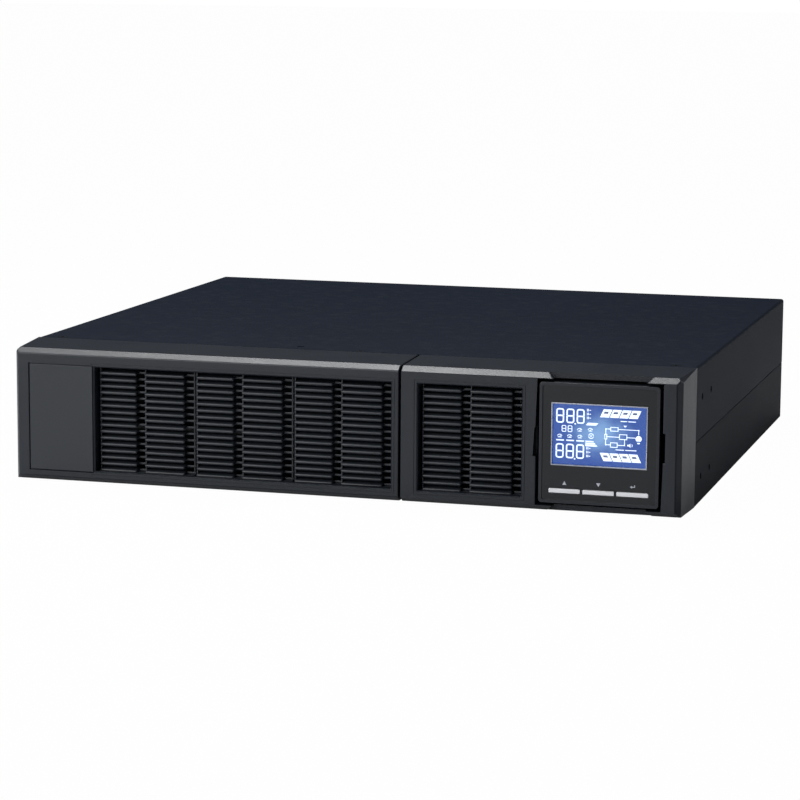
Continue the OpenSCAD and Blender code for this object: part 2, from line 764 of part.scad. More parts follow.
// Sheet behind the bezels: a doorway for the pack, an air intake and a cable hole
module front_subframe() {
    intake_x = grille_right + insert_w / 2;
    color(chassis_grey) difference() {
        union() {
            block([-plate_half, metal_y, sheet], [plate_half, metal_y + sheet, deck_z]);
            block([-inner_x + wing + gap, metal_y, deck_z - sheet], [inner_x - wing - gap, metal_y + flange, deck_z]);
            block([bay_x1 + sheet + gap, metal_y, sheet], [plate_half - flange, metal_y + flange, 2 * sheet]);
        }
        block([pack_x0 - gap, metal_y - 1, 0], [bay_x1, metal_y + flange + 1, bay_top]);
        for (x = tray_screw_x) bar_y(x, tray_screw_z, metal_y - 1, metal_y + flange / 2, screw_r + 0.2);
        for (p = concat(pack_clips, main_clips))
            block([p[0] - clip_w / 2 - clip_gap, metal_y - 1, p[1] - clip_gap],
                [p[0] + clip_w / 2 + clip_gap, metal_y + clip_reach + 1, p[1] + clip_t + clip_gap]);
        for (i = [0:6]) for (j = [0:5])
            block([intake_x - 28 + i * 8.4, metal_y - 1, 14 + j * 10.4], [intake_x - 22.4 + i * 8.4, metal_y + 2, 21 + j * 10.4]);
        bar_y(lcd_x, case_h / 2, metal_y - 1, metal_y + 2, 9);
        wing_notches(metal_y - 1, metal_y + flange + 1);
        bar_z(0, top_screw_y, deck_z - 5, deck_z + 1, screw_r);
    }
}

// Divider beside the bay, with a foot on the floor, and the wall behind the pack
module battery_bay_wall() {
    y0 = metal_y + sheet;
    color(zinc) difference() {
        union() {
            block([bay_x1, y0, sheet], [bay_x1 + sheet, bay_back + sheet, bay_top + 4]);
            block([bay_x1, y0 + flange, sheet], [bay_x1 + flange - 2, bay_back, 2 * sheet]);
            block([pack_x0, bay_back, sheet], [bay_x1 + sheet, bay_back + sheet, bay_top + 4]);
            block([pack_x0 + flange, bay_back, sheet], [bay_x1, bay_back + flange / 2, 2 * sheet]);
        }
        block([plug_x - plug_w / 2, bay_back - 1, plug_z - plug_h / 2], [plug_x + plug_w / 2, bay_back + sheet + 1, plug_z + plug_h / 2]);
    }
}

module battery_tray() {
    hole_r = 9;
    color(zinc) difference() {
        union() {
            block([pack_x0, tray_front, tray_z0], [tray_x1, tray_back + sheet, cell_z0]);
            block([pack_x0 + gap, tray_front, tray_z0], [tray_x1 - gap, tray_front + sheet, tray_top]);
            block([pack_x0, tray_back, tray_z0], [tray_x1, tray_back + sheet, cell_z0 + cell_t * 0.75]);
            for (x = [pack_x0, tray_x1 - sheet])
                block([x, tray_front + sheet + gap, tray_z0], [x + sheet, tray_back, cell_z0 + tray_wall_h]);
        }
        for (x = tray_screw_x) bar_y(x, tray_screw_z, tray_front - 1, tray_front + sheet + 1, screw_r + 0.2);
        for (s = [-1, 1]) bar_y(handle_x + s * handle_w / 2, handle_z, tray_front - 1, tray_front + sheet + 1, 1.8);
        for (i = [0, 1]) for (j = [0, 1]) bar_z(cell_place(i + 2 * j)[0], cell_place(i + 2 * j)[1], 0, cell_z0 + 1, hole_r);
    }
}

// Centre of the footprint of a battery, numbered from the front left
function cell_place(i) = [
    i % 2 == 0 ? pack_x0 + sheet + cell_space / 2 + cell_h / 2 : tray_x1 - sheet - cell_space / 2 - cell_h / 2,
    cell_y0 + cell_l / 2 + floor(i / 2) * (cell_l + cell_space)];

function blade_side(i) = i % 2 == 0 ? 1 : -1;

// Sealed battery on its side: case, a lid seam and a shallow well at each terminal
module battery(i) {
    p = cell_place(i);
    s = blade_side(i);
    color([0.16, 0.17, 0.19]) translate([p[0], p[1], cell_z0]) difference() {
        along_x(-cell_h / 2, cell_h / 2) translate([0, cell_t / 2]) polygon(soft_rect([0, 0], cell_l, cell_t, 3));
        translate([s * (cell_h / 2 - 13), 0, 0]) difference() {
            cube([1, cell_l + 2, 3 * cell_t], center = true);
            translate([-1, 0.7 - cell_l / 2, 0.7]) cube([2, cell_l - 1.4, cell_t - 1.4]);
        }
        for (y = [-cell_l / 2 + 14, cell_l / 2 - 14])
            translate([s * (cell_h / 2 - 2), y - 7, cell_t / 2 - 9]) mirror([s < 0 ? 1 : 0, 0, 0]) cube([4, 14, 18]);
    }
}

module battery_1() { battery(0); }

module battery_2() { battery(1); }

module battery_3() { battery(2); }

module battery_4() { battery(3); }

module battery_terminals() {
    color(copper) for (i = [0:3]) for (y = [-cell_l / 2 + 14, cell_l / 2 - 14]) {
        p = cell_place(i);
        root = p[0] + blade_side(i) * (cell_h / 2 - 2);
        tip = root + blade_side(i) * blade_h;
        block([min(root, tip), p[1] + y - 3.2, cell_z0 + cell_t / 2 - 0.4], [max(root, tip), p[1] + y + 3.2, cell_z0 + cell_t / 2 + 0.4]);
    }
}

// Blind-mating halves: the plug rides on the tray, the socket stays on the bay wall
module battery_plug() {
    color("goldenrod") difference() {
        along_y(tray_back + sheet, tray_back + sheet + plug_d)
            polygon(soft_rect([plug_x, plug_z], plug_w - 4, plug_h - 4, 1));
        for (s = [-1, 1]) bar_y(plug_x + s * 7.5, plug_z, tray_back + sheet + 3, tray_back + sheet + plug_d + 1, 4);
    }
}

module battery_socket() {
    mouth = tray_back + sheet + gap;
    color("goldenrod") difference() {
        union() {
            along_y(mouth + 4, bay_back) polygon(soft_rect([plug_x, plug_z], plug_w + 4, plug_h + 4, 1.5));
            along_y(bay_back - 1, bay_back + sheet + 6) polygon(soft_rect([plug_x, plug_z], plug_w - gap, plug_h - gap, 1));
        }
        along_y(mouth, tray_back + sheet + plug_d + gap)
            polygon(soft_rect([plug_x, plug_z], plug_w - 4 + 2 * gap, plug_h - 4 + 2 * gap, 1));
    }
}

// Bail of round bar with two feet on the tray front
module tray_handle() {
    bar_yc = tray_front - handle_d + handle_r;
    color(black) union() {
        bar_x(bar_yc, handle_z, handle_x - handle_w / 2, handle_x + handle_w / 2, handle_r);
        for (s = [-1, 1]) {
            x = handle_x + s * handle_w / 2;
            bar_y(x, handle_z, bar_yc, tray_front, handle_r);
            translate([x, bar_yc, handle_z]) sphere(r = handle_r);
            bar_y(x, handle_z, tray_front - 2.5, tray_front, handle_r + 3);
            bar_y(x, handle_z, tray_front - 1, tray_front + sheet, 1.7);
        }
    }
}

module tray_screws() {
    color(zinc) for (x = tray_screw_x) {
        bar_y(x, tray_screw_z, tray_front - 7, tray_front, 4.5);
        bar_y(x, tray_screw_z, tray_front - 1, metal_y + 4, screw_r);
    }
}

// ---- front bezels ----
// Side view of the bezel's skin, drawn in by an inset
function bezel_profile(inset, front) = let (top = case_h - bezel_draft - inset, low = bezel_draft + inset)
    [[metal_y + inset, inset], [metal_y + inset, case_h - inset], [front_y + chamfer_d, top],
     [front, top - chamfer_h], [front, low + chamfer_h], [front_y + chamfer_d, low]];

function bezel_plan(inset, front) = let (side = half_w - bezel_draft - inset)
    [[half_w - inset, metal_y + inset], [side, front_y + chamfer_d], [side - chamfer_h, front],
     [chamfer_h - side, front], [-side, front_y + chamfer_d], [inset - half_w, metal_y + inset]];

// Sloped planes that bevel the four long corners, nothing at the back, a full leg at the front
module corner_planes() {
    fall = (2 * bezel_draft + corner_bevel) / bezel_d;
    n = [1, -fall, 1];
    both_sides() for (top = [0, 1])
        translate([0, 0, case_h / 2]) mirror([0, 0, 1 - top]) translate([half_w, metal_y, case_h / 2])
            rotate([0, acos(1 / norm(n)), atan2(-fall, 1)]) translate([-bezel_d * 2, -bezel_d * 2, 0])
                cube([bezel_d * 4, bezel_d * 4, corner_bevel * 4]);
}

module bezel_skin() {
    difference() {
        intersection() {
            along_x(-half_w - 1, half_w + 1) polygon(bezel_profile(0, front_y));
            along_z(-1, case_h + 1) polygon(bezel_plan(0, front_y));
        }
        corner_planes();
    }
}

// Hollow behind the skin between two end walls; it runs out through the back
module bezel_hollow(x0, x1) {
    wall = bezel_wall;
    intersection() {
        along_x(x0, x1) polygon(concat([[metal_y + 1, wall], [metal_y + 1, case_h - wall]],
            [for (i = [2:5]) bezel_profile(wall, front_y + face_t)[i]]));
        along_z(-1, case_h + 1) polygon(concat([[half_w - wall, metal_y + 1]],
            [for (i = [1:4]) bezel_plan(wall, front_y + face_t)[i]], [[wall - half_w, metal_y + 1]]));
    }
}

insert_front = front_y + slat_recess;
insert_back = insert_front + slat_d;
duct_t = 1.6;
duct_back = insert_back + 3;
insert_low = grille_low - 1.2;
insert_top = grille_top + 1.2;

// Opening with a bevelled edge, and the duct's inside behind it
module grille_opening(x0, x1) {
    edge = 0.8;
    block([x0, front_y - 1, grille_low], [x1, insert_back, grille_top]);
    block([x0, insert_front - gap, insert_low - gap], [x1, duct_back + 1, insert_top + gap]);
    intersection() {
        along_z(0, case_h) polygon([[x0 - 2 * edge, front_y - edge], [x1 + 2 * edge, front_y - edge],
            [x1, front_y + edge], [x0, front_y + edge]]);
        along_x(x0 - 3, x1 + 3) polygon([[front_y - edge, grille_low - 2 * edge], [front_y - edge, grille_top + 2 * edge],
            [front_y + edge, grille_top], [front_y + edge, grille_low]]);
    }
}

// Fine groove that runs round an opening on the face
module face_outline(x0, x1) {
    inner = 2;
    outer = 2.4;
    difference() {
        block([x0 - outer, front_y - 1, grille_low - outer], [x1 + outer, front_y + 0.4, grille_top + outer]);
        block([x0 - inner, front_y - 2, grille_low - inner], [x1 + inner, front_y + 1, grille_top + inner]);
    }
}

module grille_duct(x0, x1) {
    block([x0 - duct_t, front_y + face_t - 0.1, insert_low - gap - duct_t],
        [x1 + duct_t, duct_back, insert_top + gap + duct_t]);
}

// Flat tongues that push through the slots of the sheet behind, each on a foot on the skin
module bezel_clip_posts(places) {
    foot = 1.2;
    for (p = places) {
        foot_z = p[1] < case_h / 2 ? p[1] - foot : p[1] + clip_t;
        block([p[0] - clip_w / 2, metal_y - 14, p[1]], [p[0] + clip_w / 2, metal_y + clip_reach, p[1] + clip_t]);
        block([p[0] - clip_w / 2, metal_y - 14, foot_z], [p[0] + clip_w / 2, metal_y - 4, foot_z + foot]);
    }
}

panel_x0 = -half_w + panel_inset;
panel_x1 = grille_left - panel_rib - panel_groove;
panel_z0 = grille_low + (grille_h - panel_h) / 2;

// Part of the front between two ends: its skin, hollow behind, and its duct
module bezel_part(x0, x1, hollow0, hollow1, back, duct) {
    difference() {
        bezel_skin();
        block([-2 * case_w, front_y - 1, -1], [x0, metal_y + 1, case_h + 1]);
        block([x1, front_y - 1, -1], [2 * case_w, metal_y + 1, case_h + 1]);
        block([-case_w, back, -1], [case_w, metal_y + 1, case_h + 1]);
        bezel_hollow(hollow0, hollow1);
    }
    grille_duct(duct[0], duct[1]);
}

module battery_bezel() {
    x1 = split_x - split_gap / 2;
    color(bezel_grey) difference() {
        union() {
            bezel_part(-case_w, x1, -half_w, x1 - bezel_wall, metal_y - gap, [grille_left, grille_left_end]);
            bezel_clip_posts(pack_clips);
        }
        grille_opening(grille_left, grille_left_end);
        face_outline(grille_left, grille_left_end);
        block([pack_x0 - gap, tray_front - gap, tray_z0 - gap], [tray_x1 + gap, metal_y + 1, bezel_wall + 1]);
        block([panel_x0 - panel_groove, front_y - 1, panel_z0 - panel_groove],
            [panel_x1 + panel_groove, front_y + panel_t, panel_z0 + panel_h + panel_groove]);
    }
}

module name_panel() {
    color(bezel_grey) block([panel_x0, front_y, panel_z0], [panel_x1, front_y + panel_t, panel_z0 + panel_h]);
}

lcd_back_t = 2.6;
pocket_back = front_y + lcd_d + lcd_back_t + gap;
pocket_wall = 1.6;
cable_r = 8;
notch_h = 18;
notch_d = 1.5;
finger_w = 58;
finger_d = 6;

// Slanted cut through the chamfer above and below the display, to get a nail behind its rim
module finger_cuts() {
    rise = case_h / 2 - pocket_half + 1;
    for (s = [0, 1]) translate([lcd_x, 0, lcd_z]) mirror([0, 0, s]) along_y(front_y - 1, front_y + finger_d)
        polygon([[-finger_w / 2, pocket_half - 0.1], [finger_w / 2, pocket_half - 0.1],
            [finger_w / 2 + rise, pocket_half + rise], [-finger_w / 2 - rise, pocket_half + rise]]);
}

module main_bezel() {
    x0 = split_x + split_gap / 2;
    outer = pocket_half + pocket_wall;
    color(bezel_grey) difference() {
        union() {
            bezel_part(x0, case_w, x0 + bezel_wall, half_w, metal_y, [grille_right, grille_right_end]);
            block([lcd_x - outer, front_y + face_t - 0.1, lcd_z - outer], [lcd_x + outer, pocket_back + pocket_wall, lcd_z + outer]);
            bezel_clip_posts(main_clips);
        }
        grille_opening(grille_right, grille_right_end);
        face_outline(grille_right, grille_right_end);
        block([lcd_x - pocket_half, front_y - 1, lcd_z - pocket_half], [lcd_x + pocket_half, pocket_back, lcd_z + pocket_half]);
        block([lcd_x - pocket_half - notch_d, front_y - 1, lcd_z - notch_h / 2],
            [lcd_x + pocket_half + notch_d, front_y + finger_d, lcd_z + notch_h / 2]);
        bar_y(lcd_x, lcd_z, pocket_back - 1, pocket_back + pocket_wall + 1, cable_r);
        finger_cuts();
    }
}

// Moulded louvre panel: two columns of round-nosed slats, set back cross bars and uprights
function slat_profile(z) = concat(arc_points([insert_front + slat_h / 2, z], slat_h / 2, 90, 270, 6),
    [[insert_back, z - slat_h / 2 + slat_rise + 0.4], [insert_back, z + slat_h / 2 + slat_rise - 0.4]]);

module louvre_insert(x0) {
    slat_zs = [for (i = [0:slat_count - 1]) grille_low + slat_first + i * slat_step];
    cross = slat_h / 2 - 0.45;
    color(insert_grey) translate([x0, 0, 0]) union() {
        for (span = [[0, column_a], [column_b, column_b_end]])
            along_x(span[0], span[1]) for (z = slat_zs) polygon(slat_profile(z));
        along_x(0, insert_w) for (z = slat_zs)
            translate([insert_back - slat_d / 2, z + slat_rise / 2 - cross]) square([slat_d / 2, 2 * cross]);
        for (x = [0, column_b, insert_w - upright_w])
            block([x, insert_front + slat_h / 4, insert_low], [x + upright_w, insert_back, insert_top]);
        for (z = [insert_low, insert_top - 1.2])
            block([0, insert_front, z], [insert_w, insert_back, z + 1.2]);
    }
}

insert_xs = concat([for (i = [0:2]) grille_left + insert_margin + i * insert_step], [grille_right + insert_margin]);

module louvre_insert_1() { louvre_insert(insert_xs[0]); }

module louvre_insert_2() { louvre_insert(insert_xs[1]); }

module louvre_insert_3() { louvre_insert(insert_xs[2]); }

module louvre_insert_4() { louvre_insert(insert_xs[3]); }

// ---- display module ----
plate_t = 2.4;
lcd_face = front_y + rim_h;
plate_back = lcd_face + plate_t;
window_c = [lcd_x, lcd_z + window_up];
lens_gap = 0.4;
button_c = [for (i = [-1:1]) [lcd_x + i * button_step, lcd_z - lcd_s / 2 + button_up]];
button_proud = 0.5;
post_r = 2.2;
post_at = lcd_s / 2 - lcd_wall - post_r + 0.4;
lcd_board_y = front_y + lcd_d - 6;
switch_h = 3.6;
plunger_y = lcd_board_y - switch_h - 1;

module lcd_frame() {
    c = [lcd_x, lcd_z];
    color(black) difference() {
        along_y(front_y, front_y + lcd_d) polygon(soft_rect(c, lcd_s, lcd_s, 2));
        along_y(front_y - 1, lcd_face) polygon(soft_rect(c, lcd_s - 2 * rim_w, lcd_s - 2 * rim_w, 1));
        along_y(front_y - 1, plate_back + 1) translate(window_c) square([window_w, window_h], center = true);
        for (b = button_c) along_y(front_y - 1, plate_back + 1)
            translate(b) square([button_w + 2 * button_slot, button_h + 2 * button_slot], center = true);
        difference() {
            along_y(plate_back, front_y + lcd_d + 1)
                polygon(soft_rect(c, lcd_s - 2 * lcd_wall, lcd_s - 2 * lcd_wall, 1));
            for (sx = [-1, 1]) for (sz = [-1, 1])
                bar_y(lcd_x + sx * post_at, lcd_z + sz * post_at, plate_back - 1, lcd_board_y, post_r);
        }
    }
}

module lcd_trim() {
    color("silver") along_y(lcd_face - 0.4, lcd_face + 1) translate(window_c) difference() {
        square([window_w, window_h], center = true);
        square([window_w - 2 * trim_w, window_h - 2 * trim_w], center = true);
    }
}

module lcd_lens() {
    color([0.3, 0.5, 0.9, 0.5]) along_y(lcd_face + 0.2, plate_back - lens_gap) translate(window_c)
        square([window_w - 2 * trim_w, window_h - 2 * trim_w], center = true);
}

module lcd_glass() {
    color([0.1, 0.25, 0.85]) along_y(plate_back, plate_back + 2.5) translate(window_c)
        square([window_w + 5, window_h + 4], center = true);
}

module lcd_board() {
    c = [lcd_x, lcd_z];
    side = lcd_s - 2 * lcd_wall - 2 * gap;
    color(board_green) difference() {
        along_y(lcd_board_y, lcd_board_y + board_t) polygon(soft_rect(c, side, side, 1));
        bar_y(lcd_x, lcd_z + window_up, lcd_board_y - 1, lcd_board_y + board_t + 1, 4);
    }
}

module lcd_back_cover() {
    c = [lcd_x, lcd_z];
    lip = lcd_s - 2 * lcd_wall - 2 * gap;
    color(black) difference() {
        union() {
            along_y(front_y + lcd_d, front_y + lcd_d + lcd_back_t) polygon(soft_rect(c, lcd_s, lcd_s, 2));
            along_y(front_y + lcd_d - 2, front_y + lcd_d) polygon(soft_rect(c, lip, lip, 1));
        }
        along_y(front_y + lcd_d - 3, front_y + lcd_d) polygon(soft_rect(c, lip - 3, lip - 3, 1));
        bar_y(lcd_x, lcd_z, front_y + lcd_d - 1, front_y + lcd_d + lcd_back_t + 1, cable_r);
    }
}

module key_switches() {
    color(black) for (b = button_c) {
        block([b[0] - 3, lcd_board_y - switch_h, b[1] - 3], [b[0] + 3, lcd_board_y, b[1] + 3]);
        bar_y(b[0], b[1], plunger_y, lcd_board_y - switch_h + 0.5, 1.7);
    }
}

// Bar cap, a shoulder behind the plate that keeps it in, and a stem to its switch
module push_button(i) {
    b = button_c[i];
    shoulder = plate_back + gap;
    color("white") {
        along_y(lcd_face - button_proud, shoulder) polygon(soft_rect(b, button_w, button_h, 0.6));
        along_y(shoulder, shoulder + 1) polygon(soft_rect(b, button_w + 0.8, button_h + 1.8, 0.6));
        block([b[0] - 2, shoulder, b[1] - 1.5], [b[0] + 2, plunger_y - button_travel - 0.15, b[1] + 1.5]);
    }
}

module button_left() { push_button(0); }

module button_middle() { push_button(1); }

module button_right() { push_button(2); }

// ---- electronics ----
board_x0 = bay_x1 + sheet + 2;
board_y0 = metal_y + flange + 8;
board_z0 = sheet + standoff_h;
deck = board_z0 + board_t;
board_x1 = inner_x - board_side;
board_w = board_x1 - board_x0;
post_xs = [for (f = [0.05, 0.5, 0.95]) board_x0 + f * board_w];
post_ys = [for (f = [0.05, 0.5, 0.95]) board_y0 + f * board_l];
sink_base = 4;
fin_reach = 24;
sink_w = sink_base + fin_reach;
core_w = 36;
core_l = 56;
core_h = case_h - 38;
core_leg = 12;
bobbin_w = 24;
bobbin_h = core_h + 6;
core_gap = 6;
filter_w = 10;
filter_l = 90;
filter_h = case_h - 38;
control_l = sink_l - 40;
control_h = case_h - 36;
capacitor_r = 15;
capacitor_h = case_h - 43;
capacitor_step = 34;
choke_r = 15;
choke_base = 40;
choke_step = 52;
filter_x = board_x1 - 4;
core_x = filter_x - filter_w - 4 - core_w;
sink_xs = [board_x0 + 46, core_x - core_gap - sink_w];
sink_y0 = board_y0 + 95;
transistor_t = 5;
transistor_w = 16;
transistor_h = 21;
relay_w = 18;
relay_l = 26;
relay_h = 24;
relay_gap = 4;

module board_standoffs() {
    color("gold") for (x = post_xs) for (y = post_ys) bar_z(x, y, sheet, board_z0, 3, $fn = 6);
}

module main_board() {
    color(board_green) block([board_x0, board_y0, board_z0], [board_x0 + board_w, board_y0 + board_l, deck]);
}

module heat_sinks() {
    color("silver") for (x = sink_xs) along_y(sink_y0, sink_y0 + sink_l) {
        translate([x, deck]) square([sink_base, sink_h]);
        for (i = [0:fin_count - 1])
            translate([x, deck + i * (sink_h - 1.6) / (fin_count - 1)]) square([sink_w, 1.6]);
    }
}

module power_transistors() {
    color(black) for (x = sink_xs) for (f = [0.1:0.2:0.9]) let (y = sink_y0 + f * sink_l)
        block([x - transistor_t, y - transistor_w / 2, deck + 4], [x, y + transistor_w / 2, deck + 4 + transistor_h]);
}

// Ferrite core of two halves round a wound bobbin
module transformer() {
    y = sink_y0 + sink_l / 8;
    bobbin_x = core_x + (core_w - bobbin_w) / 2;
    color("darkgoldenrod") {
        for (y0 = [y, y + core_l - core_leg])
            block([core_x, y0, deck + 6], [core_x + core_w, y0 + core_leg, deck + core_h]);
        block([bobbin_x, y + core_leg - 1, deck], [bobbin_x + bobbin_w, y + core_l - core_leg + 1, deck + bobbin_h]);
        block([core_x, y + core_leg - 1, deck + 6], [core_x + core_w, y + core_l - core_leg + 1, deck + 12]);
    }
}

module chokes() {
    color(copper) for (i = [0:2]) translate([board_x0 + 34 + i * choke_step, board_y0 + 34, deck]) {
        translate([0, 0, 12]) rotate_extrude() translate([choke_r, 0]) square([10, 20], center = true);
        translate([-choke_base / 2, -choke_base / 2, 0]) cube([choke_base, choke_base, 2]);
    }
}

module bus_capacitors() {
    color([0.12, 0.14, 0.2]) for (i = [0:3])
        bar_z(board_x0 + 20, sink_y0 + capacitor_r + i * capacitor_step, deck, deck + capacitor_h, capacitor_r);
}

module relays() {
    color([0.12, 0.3, 0.6]) for (i = [0:1]) for (j = [1:2])
        translate([core_x + i * (relay_w + relay_gap), sink_y0 + sink_l - j * (relay_l + 2), deck])
            cube([relay_w, relay_l, relay_h]);
}

module filter_board() {
    y = board_y0 + 60;
    color(board_green) {
        block([filter_x, y, deck], [filter_x + board_t, y + filter_l, deck + filter_h]);
        for (f = [1:3]) translate([filter_x - filter_w, y + f * filter_l / 4 - 10, deck + 8])
            cube([filter_w, 20, 22]);
    }
}

module control_board() {
    x = (sink_xs[0] + sink_w + sink_xs[1] - transistor_t - board_t) / 2;
    color(board_green) {
        block([x, sink_y0 + 10, deck], [x + board_t, sink_y0 + 10 + control_l, deck + control_h]);
        translate([x + board_t, sink_y0 + 50, deck + 20]) cube([1.4, 14, 14]);
    }
}

base_chassis();
top_cover();
rear_panel();
front_subframe();
battery_bay_wall();
ear_nuts();
case_screws();
main_bezel();
battery_bezel();
name_panel();
louvre_insert_1();
louvre_insert_2();
louvre_insert_3();
louvre_insert_4();
lcd_frame();
lcd_trim();
lcd_lens();
lcd_glass();
lcd_board();
lcd_back_cover();
key_switches();
button_left();
button_middle();
button_right();
battery_tray();
battery_1();
battery_2();
battery_3();
battery_4();
battery_terminals();
battery_plug();
battery_socket();
tray_handle();
tray_screws();
fan_frame_inner();
fan_frame_outer();
fan_rotor_inner();
fan_rotor_outer();
fan_guard_inner();
fan_guard_outer();
outlets();
ac_inlet();
inlet_blades();
breaker_body();
breaker_button();
dc_connector();
signal_ports();
surge_ports();
epo_terminal();
slot_cover();
board_standoffs();
main_board();
heat_sinks();
power_transistors();
transformer();
chokes();
bus_capacitors();
relays();
filter_board();
control_board();
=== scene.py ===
import json
import math

import bmesh
import bpy
import numpy as np
from mathutils import Matrix, Vector


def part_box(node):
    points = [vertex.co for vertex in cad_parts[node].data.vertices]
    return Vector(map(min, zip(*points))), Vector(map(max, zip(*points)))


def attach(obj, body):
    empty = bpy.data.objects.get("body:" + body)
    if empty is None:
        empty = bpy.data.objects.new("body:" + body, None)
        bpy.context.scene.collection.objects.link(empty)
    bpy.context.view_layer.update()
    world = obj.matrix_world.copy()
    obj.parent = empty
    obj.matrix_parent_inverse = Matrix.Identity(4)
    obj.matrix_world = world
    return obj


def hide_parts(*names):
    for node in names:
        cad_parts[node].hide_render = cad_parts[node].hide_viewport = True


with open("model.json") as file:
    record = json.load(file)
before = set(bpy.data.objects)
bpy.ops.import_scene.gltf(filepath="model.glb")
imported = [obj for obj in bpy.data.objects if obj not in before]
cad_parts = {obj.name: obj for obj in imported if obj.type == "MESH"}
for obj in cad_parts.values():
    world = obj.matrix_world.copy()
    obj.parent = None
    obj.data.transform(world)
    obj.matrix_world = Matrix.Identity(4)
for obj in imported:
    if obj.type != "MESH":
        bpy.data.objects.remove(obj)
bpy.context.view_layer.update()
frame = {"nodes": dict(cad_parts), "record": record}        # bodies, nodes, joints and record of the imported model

mm = 0.001
bodyNodes = frame["record"]["behaviour"]["bodies"]
nodeBody = {name: body for body, names in bodyNodes.items() for name in names}
nodeSlot = {name: node.material_slots[0].material.name for name, node in frame["nodes"].items()}


# a colour written as it looks on a screen, 0 to 255 for each part
def shade(red, green, blue):
    parts = np.array([red, green, blue]) / 255
    linear = np.where(parts <= 0.04045, parts / 12.92, ((parts + 0.055) / 1.055) ** 2.4)
    return (*linear.tolist(), 1.0)


print("scene: camera and light")
cameraLook = {
    "place": (0.5150, -1.8771, 0.3429),
    "back": (0.26934, -0.95007, 0.15755),
    "roll": math.radians(0.399),
    "lens": 127.69,
}


def makeCamera(look):
    back = Vector(look["back"]).normalized()
    right = Vector((0, 0, 1)).cross(back).normalized()
    up = back.cross(right)
    cosine, sine = math.cos(look["roll"]), math.sin(look["roll"])
    turned = Matrix([cosine * right + sine * up, cosine * up - sine * right, back]).transposed()
    lens = bpy.data.cameras.new("camera")
    lens.lens = look["lens"]
    lens.sensor_width = 36.0
    lens.clip_start = 0.05
    lens.clip_end = 60.0
    camera = bpy.data.objects.new("camera", lens)
    camera.matrix_world = Matrix.Translation(look["place"]) @ turned.to_4x4()
    bpy.context.scene.collection.objects.link(camera)
    bpy.context.scene.camera = camera


makeCamera(cameraLook)

softboxes = {
    "topSoftbox": {"place": (-0.42, 0.17, 1.6), "aim": (0.0, -0.2, 0.08), "size": (1.0, 0.5), "watts": 22},
    "frontSoftbox": {"place": (-1.5, -2.3, 1.1), "aim": (0.0, -0.2, 0.05), "size": (2.8, 1.9), "watts": 64},
    "sideSoftbox": {"place": (1.9, 1.1, 0.9), "aim": (0.2, 0.0, 0.05), "size": (1.0, 0.8), "watts": 8},
}


def makeSoftbox(name, look):
    lamp = bpy.data.lights.new(name, "AREA")
    lamp.shape = "RECTANGLE"
    lamp.size, lamp.size_y = look["size"]
    lamp.energy = look["watts"]
    softbox = bpy.data.objects.new(name, lamp)
    softbox.location = look["place"]
    aim = Vector(look["aim"]) - Vector(look["place"])
    softbox.rotation_euler = aim.to_track_quat("-Z", "Y").to_euler()
    bpy.context.scene.collection.objects.link(softbox)


for softboxName, softboxLook in softboxes.items():
    makeSoftbox(softboxName, softboxLook)


# wraps a shader socket, so that a sum written on it adds its Math nodes to the same tree
class Wire:
    def __init__(self, tree, socket):
        self.tree = tree
        self.socket = socket

    def maths(self, operation, first, second=0.0):
        return self.tree.node("ShaderNodeMath", {"operation": operation}, {0: first, 1: second})

    def __add__(self, other):
        return self.maths("ADD", self, other)

    __radd__ = __add__

    def __sub__(self, other):
        return self.maths("SUBTRACT", self, other)

    def __rsub__(self, other):
        return self.maths("SUBTRACT", other, self)

    def __mul__(self, other):
        return self.maths("MULTIPLY", self, other)

    def __truediv__(self, other):
        return self.maths("DIVIDE", self, other)

    def __gt__(self, other):
        return self.maths("GREATER_THAN", self, other)

    def __abs__(self):
        return self.maths("ABSOLUTE", self)

    def lower(self, other):
        return self.maths("MINIMUM", self, other)

    def higher(self, other):
        return self.maths("MAXIMUM", self, other)

    def root(self):
        return self.maths("SQRT", self)

    # 0 below low, 1 above high and a smooth rise between them
    def rising(self, low, high):
        return self.tree.node("ShaderNodeMapRange", {"interpolation_type": "SMOOTHSTEP"},
                                {"Value": self, "From Min": low, "From Max": high})


# a node tree under construction, with the few kinds of node that this file needs
class Tree:
    def __init__(self, tree):
        self.tree = tree

    def node(self, kind, settings=None, inputs=None, out=0):
        made = self.tree.nodes.new(kind)
        for name, value in (settings or {}).items():
            setattr(made, name, value)
        for name, value in (inputs or {}).items():
            if isinstance(value, Wire):
                self.tree.links.new(value.socket, made.inputs[name])
            else:
                made.inputs[name].default_value = value
        return Wire(self, made.outputs[out])

    def mixed(self, mask, first, second, how="MIX"):
        return self.node("ShaderNodeMix", {"data_type": "RGBA", "blend_type": how},
                         {0: mask, 6: first, 7: second}, out=2)

    def parts(self, vector):
        split = self.node("ShaderNodeSeparateXYZ", None, {0: vector}).socket.node
        return [Wire(self, output) for output in split.outputs]


